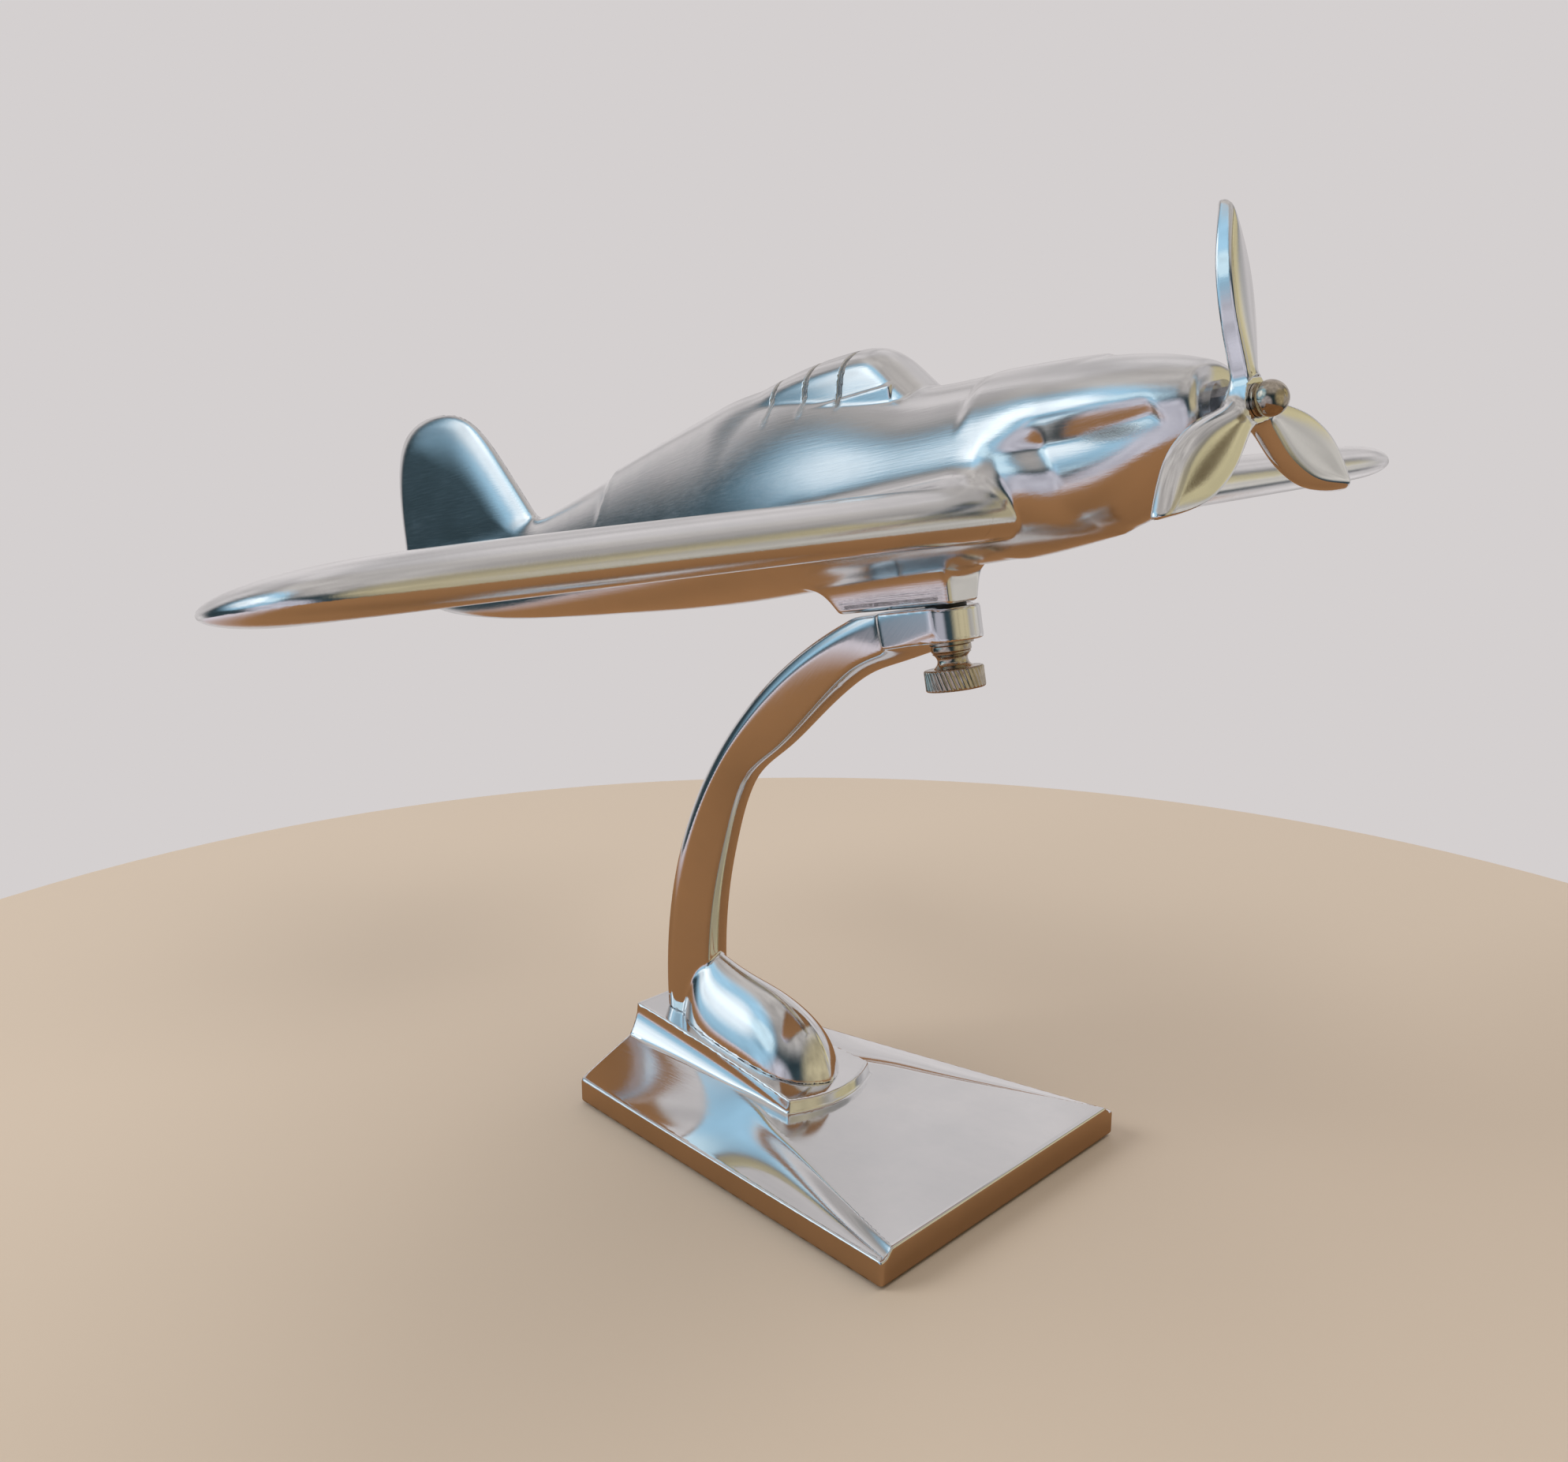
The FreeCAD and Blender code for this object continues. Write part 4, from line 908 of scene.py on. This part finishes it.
airframe_metal = polished_aluminium("airframe_aluminium", PLANE_TURN, 0.07, 0.20, 0.10, 1.0)
arm_metal = polished_aluminium("arm_aluminium", (0.0, math.radians(-50), 0.0), 0.05, 0.14,
                               0.08, 0.3)
base_metal = polished_aluminium("base_aluminium", (0.0, 0.0, 0.0), 0.05, 0.12, 0.05, 0.25)
propeller_metal = polished_aluminium("propeller_aluminium", PLANE_TURN, 0.04, 0.11, 0.06, 0.3)
nickel = plated("nickel_plating", (0.60, 0.54, 0.46), (0.40, 0.35, 0.29), 0.06, 0.20, 900.0)
steel = plated("bright_steel", (0.60, 0.60, 0.61), (0.42, 0.42, 0.43), 0.14, 0.30, 700.0)


def dress(piece, material, body, node):
    """Gives a piece its material and body, in place of a node of the CAD model."""
    piece.data.materials.append(material)
    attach(piece, body)
    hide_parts(node)


dress(airframe_piece, airframe_metal, "plane", "airframe")
dress(arm_piece, arm_metal, "stand", "stand_arm")
dress(base_piece, base_metal, "stand", "base_plate")
dress(propeller_piece, propeller_metal, "propeller", "propeller")
dress(nut_piece, nickel, "thumb_nut", "thumb_nut")

# ------------------------------------------------------------------- studio

FLOOR_REACH, FLOOR_SIDES = 0.31, 128
FLOOR_COLOUR = (0.60, 0.50, 0.40, 1.0)
# Painted reflection: in glossy rays the floor is painted brown, and painted lilac glare beyond a
# line across GLARE_WAY.
PAINTED_FLOOR_REFLECTION, PAINTED_GLARE_REFLECTION = (0.30, 0.155, 0.07), (0.60, 0.56, 0.62)
GLARE_WAY, GLARE_STARTS, GLARE_FULL = (-0.65, -0.76, 0.0), 0.17, 0.26
BACKDROP = (0.66, 0.63, 0.63, 1.0)

CAMERA_PLACE = (0.21814, -0.25354, 0.17508)
CAMERA_AZIMUTH, CAMERA_ELEVATION = math.radians(42.26), math.radians(13.51)
LENS, SENSOR, NEAREST = 36.22, 36.0, 0.01         # millimetres, millimetres, metres


def soft_panel(name, place, aim, width, height, power, colour):
    """Area lamp that lights the scene, and that the metal doesn't mirror."""
    lamp = bpy.data.lights.new(name, "AREA")
    lamp.shape = "RECTANGLE"
    lamp.size, lamp.size_y = width, height
    lamp.energy = power
    lamp.color = colour
    panel = bpy.data.objects.new(name, lamp)
    panel.location = place
    panel.rotation_euler = (Vector(aim) - Vector(place)).to_track_quat("-Z", "Y").to_euler()
    panel.visible_glossy = False
    bpy.context.scene.collection.objects.link(panel)


def make_floor():
    """Round table top: pale where it is seen, with a painted brown reflection and painted lilac
    glare where the metal mirrors it.
    """
    mesh = bpy.data.meshes.new("studio_floor")
    turns = [math.tau * i / FLOOR_SIDES for i in range(FLOOR_SIDES)]
    rim = [(FLOOR_REACH * math.cos(a), FLOOR_REACH * math.sin(a), 0.0) for a in turns]
    mesh.from_pydata(rim, [], [list(range(FLOOR_SIDES))])
    floor = bpy.data.objects.new("studio_floor", mesh)
    bpy.context.scene.collection.objects.link(floor)
    material, nodes, links = node_tree("pale_table_painted_reflection")
    shader = nodes["Principled BSDF"]
    shader.inputs["Base Color"].default_value = FLOOR_COLOUR
    shader.inputs["Roughness"].default_value = 0.55
    painted_reflection_shader = nodes.new("ShaderNodeBsdfDiffuse")
    coords = nodes.new("ShaderNodeTexCoord")
    toward = nodes.new("ShaderNodeVectorMath")
    toward.operation = "DOT_PRODUCT"
    links.new(coords.outputs["Object"], toward.inputs[0])
    toward.inputs[1].default_value = GLARE_WAY
    painted_glare_mask = remap(nodes, links, toward.outputs["Value"], GLARE_STARTS, GLARE_FULL, 0.0, 1.0)
    # painted reflection: glossy rays get a painted brown floor, and painted lilac glare beyond the
    # line
    links.new(blend(nodes, links, painted_glare_mask, PAINTED_FLOOR_REFLECTION, PAINTED_GLARE_REFLECTION), painted_reflection_shader.inputs["Color"])
    seen = nodes.new("ShaderNodeLightPath")
    mix = nodes.new("ShaderNodeMixShader")
    # glossy rays see the painted reflection in place of the pale floor
    links.new(seen.outputs["Is Glossy Ray"], mix.inputs["Fac"])
    links.new(shader.outputs[0], mix.inputs[1])
    links.new(painted_reflection_shader.outputs[0], mix.inputs[2])
    links.new(mix.outputs[0], nodes["Material Output"].inputs["Surface"])
    mesh.materials.append(material)


def lobe(nodes, links, direction, towards, starts, ends):
    """How nearly a direction points a given way, from 0 at starts to 1 at ends (cosines)."""
    dot = nodes.new("ShaderNodeVectorMath")
    dot.operation = "DOT_PRODUCT"
    links.new(direction, dot.inputs[0])
    dot.inputs[1].default_value = Vector(towards).normalized()
    ramp = nodes.new("ShaderNodeMapRange")
    ramp.interpolation_type = "SMOOTHSTEP"
    ramp.inputs["From Min"].default_value = starts
    ramp.inputs["From Max"].default_value = ends
    links.new(dot.outputs["Value"], ramp.inputs["Value"])
    return ramp.outputs["Result"]


# Parts of the room that the metal mirrors: (direction, cosine where it starts, cosine
# where it is full, colour).
ROOM_DARK = (0.030, 0.050, 0.060)
ROOM = (
    ((0.0, 0.0, 1.0), 0.25, 0.85, (0.50, 0.47, 0.45)),
    ((-0.62, 0.78, 0.05), 0.42, 0.62, (0.60, 0.57, 0.57)),
    ((1.0, 0.10, 0.10), 0.60, 0.92, (0.46, 0.40, 0.26)),
    ((0.70, 0.71, -0.03), 0.86, 0.95, (0.58, 0.55, 0.51)),
    ((0.61, 0.72, 0.34), 0.95, 0.975, (0.58, 0.51, 0.31)),
    ((0.70, 0.62, 0.35), 0.9955, 0.9990, (0.16, 0.125, 0.07)),
    ((-0.05, -0.93, -0.36), 0.74, 0.92, (0.54, 0.53, 0.60)),
    ((-0.62, -0.72, 0.38), 0.80, 0.93, (0.36, 0.60, 0.78)),
    ((-0.70, -0.60, 0.36), 0.935, 0.98, (1.00, 1.12, 1.20)),
    ((-0.35, -0.85, 0.42), 0.972, 0.990, (0.66, 0.88, 1.00)),
)


def make_world():
    """Pale backdrop to the camera; a graded room for what the metal reflects."""
    world = bpy.data.worlds.new("studio")
    world.use_nodes = True
    bpy.context.scene.world = world
    nodes, links = world.node_tree.nodes, world.node_tree.links
    room = nodes["Background"]
    coords = nodes.new("ShaderNodeTexCoord")
    direction = coords.outputs["Generated"]
    colour = ROOM_DARK
    for towards, starts, ends, tone in ROOM:
        colour = blend(nodes, links, lobe(nodes, links, direction, towards, starts, ends),
                       colour, tone)
    clutter = noise(nodes, links, direction, 3.2, 5.0, 0.62)
    shade = remap(nodes, links, clutter, 0.34, 0.66, 0.68, 1.26)
    scaled = nodes.new("ShaderNodeVectorMath")
    scaled.operation = "SCALE"
    links.new(colour, scaled.inputs[0])
    links.new(shade, scaled.inputs["Scale"])
    links.new(scaled.outputs["Vector"], room.inputs["Color"])
    backdrop = nodes.new("ShaderNodeBackground")
    backdrop.inputs["Color"].default_value = BACKDROP
    seen = nodes.new("ShaderNodeLightPath")
    mix = nodes.new("ShaderNodeMixShader")
    links.new(seen.outputs["Is Camera Ray"], mix.inputs["Fac"])
    links.new(room.outputs[0], mix.inputs[1])
    links.new(backdrop.outputs[0], mix.inputs[2])
    links.new(mix.outputs[0], nodes["World Output"].inputs["Surface"])


def make_camera():
    """Stands on the starboard bow, a little above the plane, looking slightly down."""
    azimuth, level = CAMERA_AZIMUTH, math.cos(CAMERA_ELEVATION)
    back = Vector((math.sin(azimuth) * level, -math.cos(azimuth) * level,
                   math.sin(CAMERA_ELEVATION)))
    right = Vector((math.cos(azimuth), math.sin(azimuth), 0.0))
    turn = Matrix((right, back.cross(right), back)).transposed().to_4x4()
    camera = bpy.data.cameras.new("camera")
    camera.lens = LENS
    camera.sensor_fit = "HORIZONTAL"
    camera.sensor_width = SENSOR
    camera.clip_start = NEAREST
    view = bpy.data.objects.new("camera", camera)
    view.matrix_world = Matrix.Translation(CAMERA_PLACE) @ turn
    bpy.context.scene.collection.objects.link(view)
    bpy.context.scene.camera = view


bpy.context.scene.view_settings.view_transform = "Standard"
make_floor()
make_world()
make_camera()
soft_panel("fill", (-0.9, -1.1, 1.1), (0.0, 0.0, 0.05), 0.9, 0.9, 13.0, (1.0, 0.97, 0.94))
soft_panel("ceiling", (0.35, 0.3, 1.7), (0.0, 0.0, 0.1), 1.8, 1.6, 15.0, (1.0, 0.96, 0.92))

FINISHES = {
    nickel: ("ball_nut", "clamp_washer", "propeller_washer", "propeller_axle"),
    steel: ("arm_screw_1", "arm_screw_2", "arm_screw_washer_1", "arm_screw_washer_2",
            "clamp_stud", "nose_washer", "axle_lock_nut"),
    fibre_washer("pressed_fibre"): ("swivel_washer",),
    felt_cloth("black_felt"): ("base_felt",),
}
for material, names in FINISHES.items():
    for name in names:
        frame["nodes"][name].data.materials.clear()
        frame["nodes"][name].data.materials.append(material)
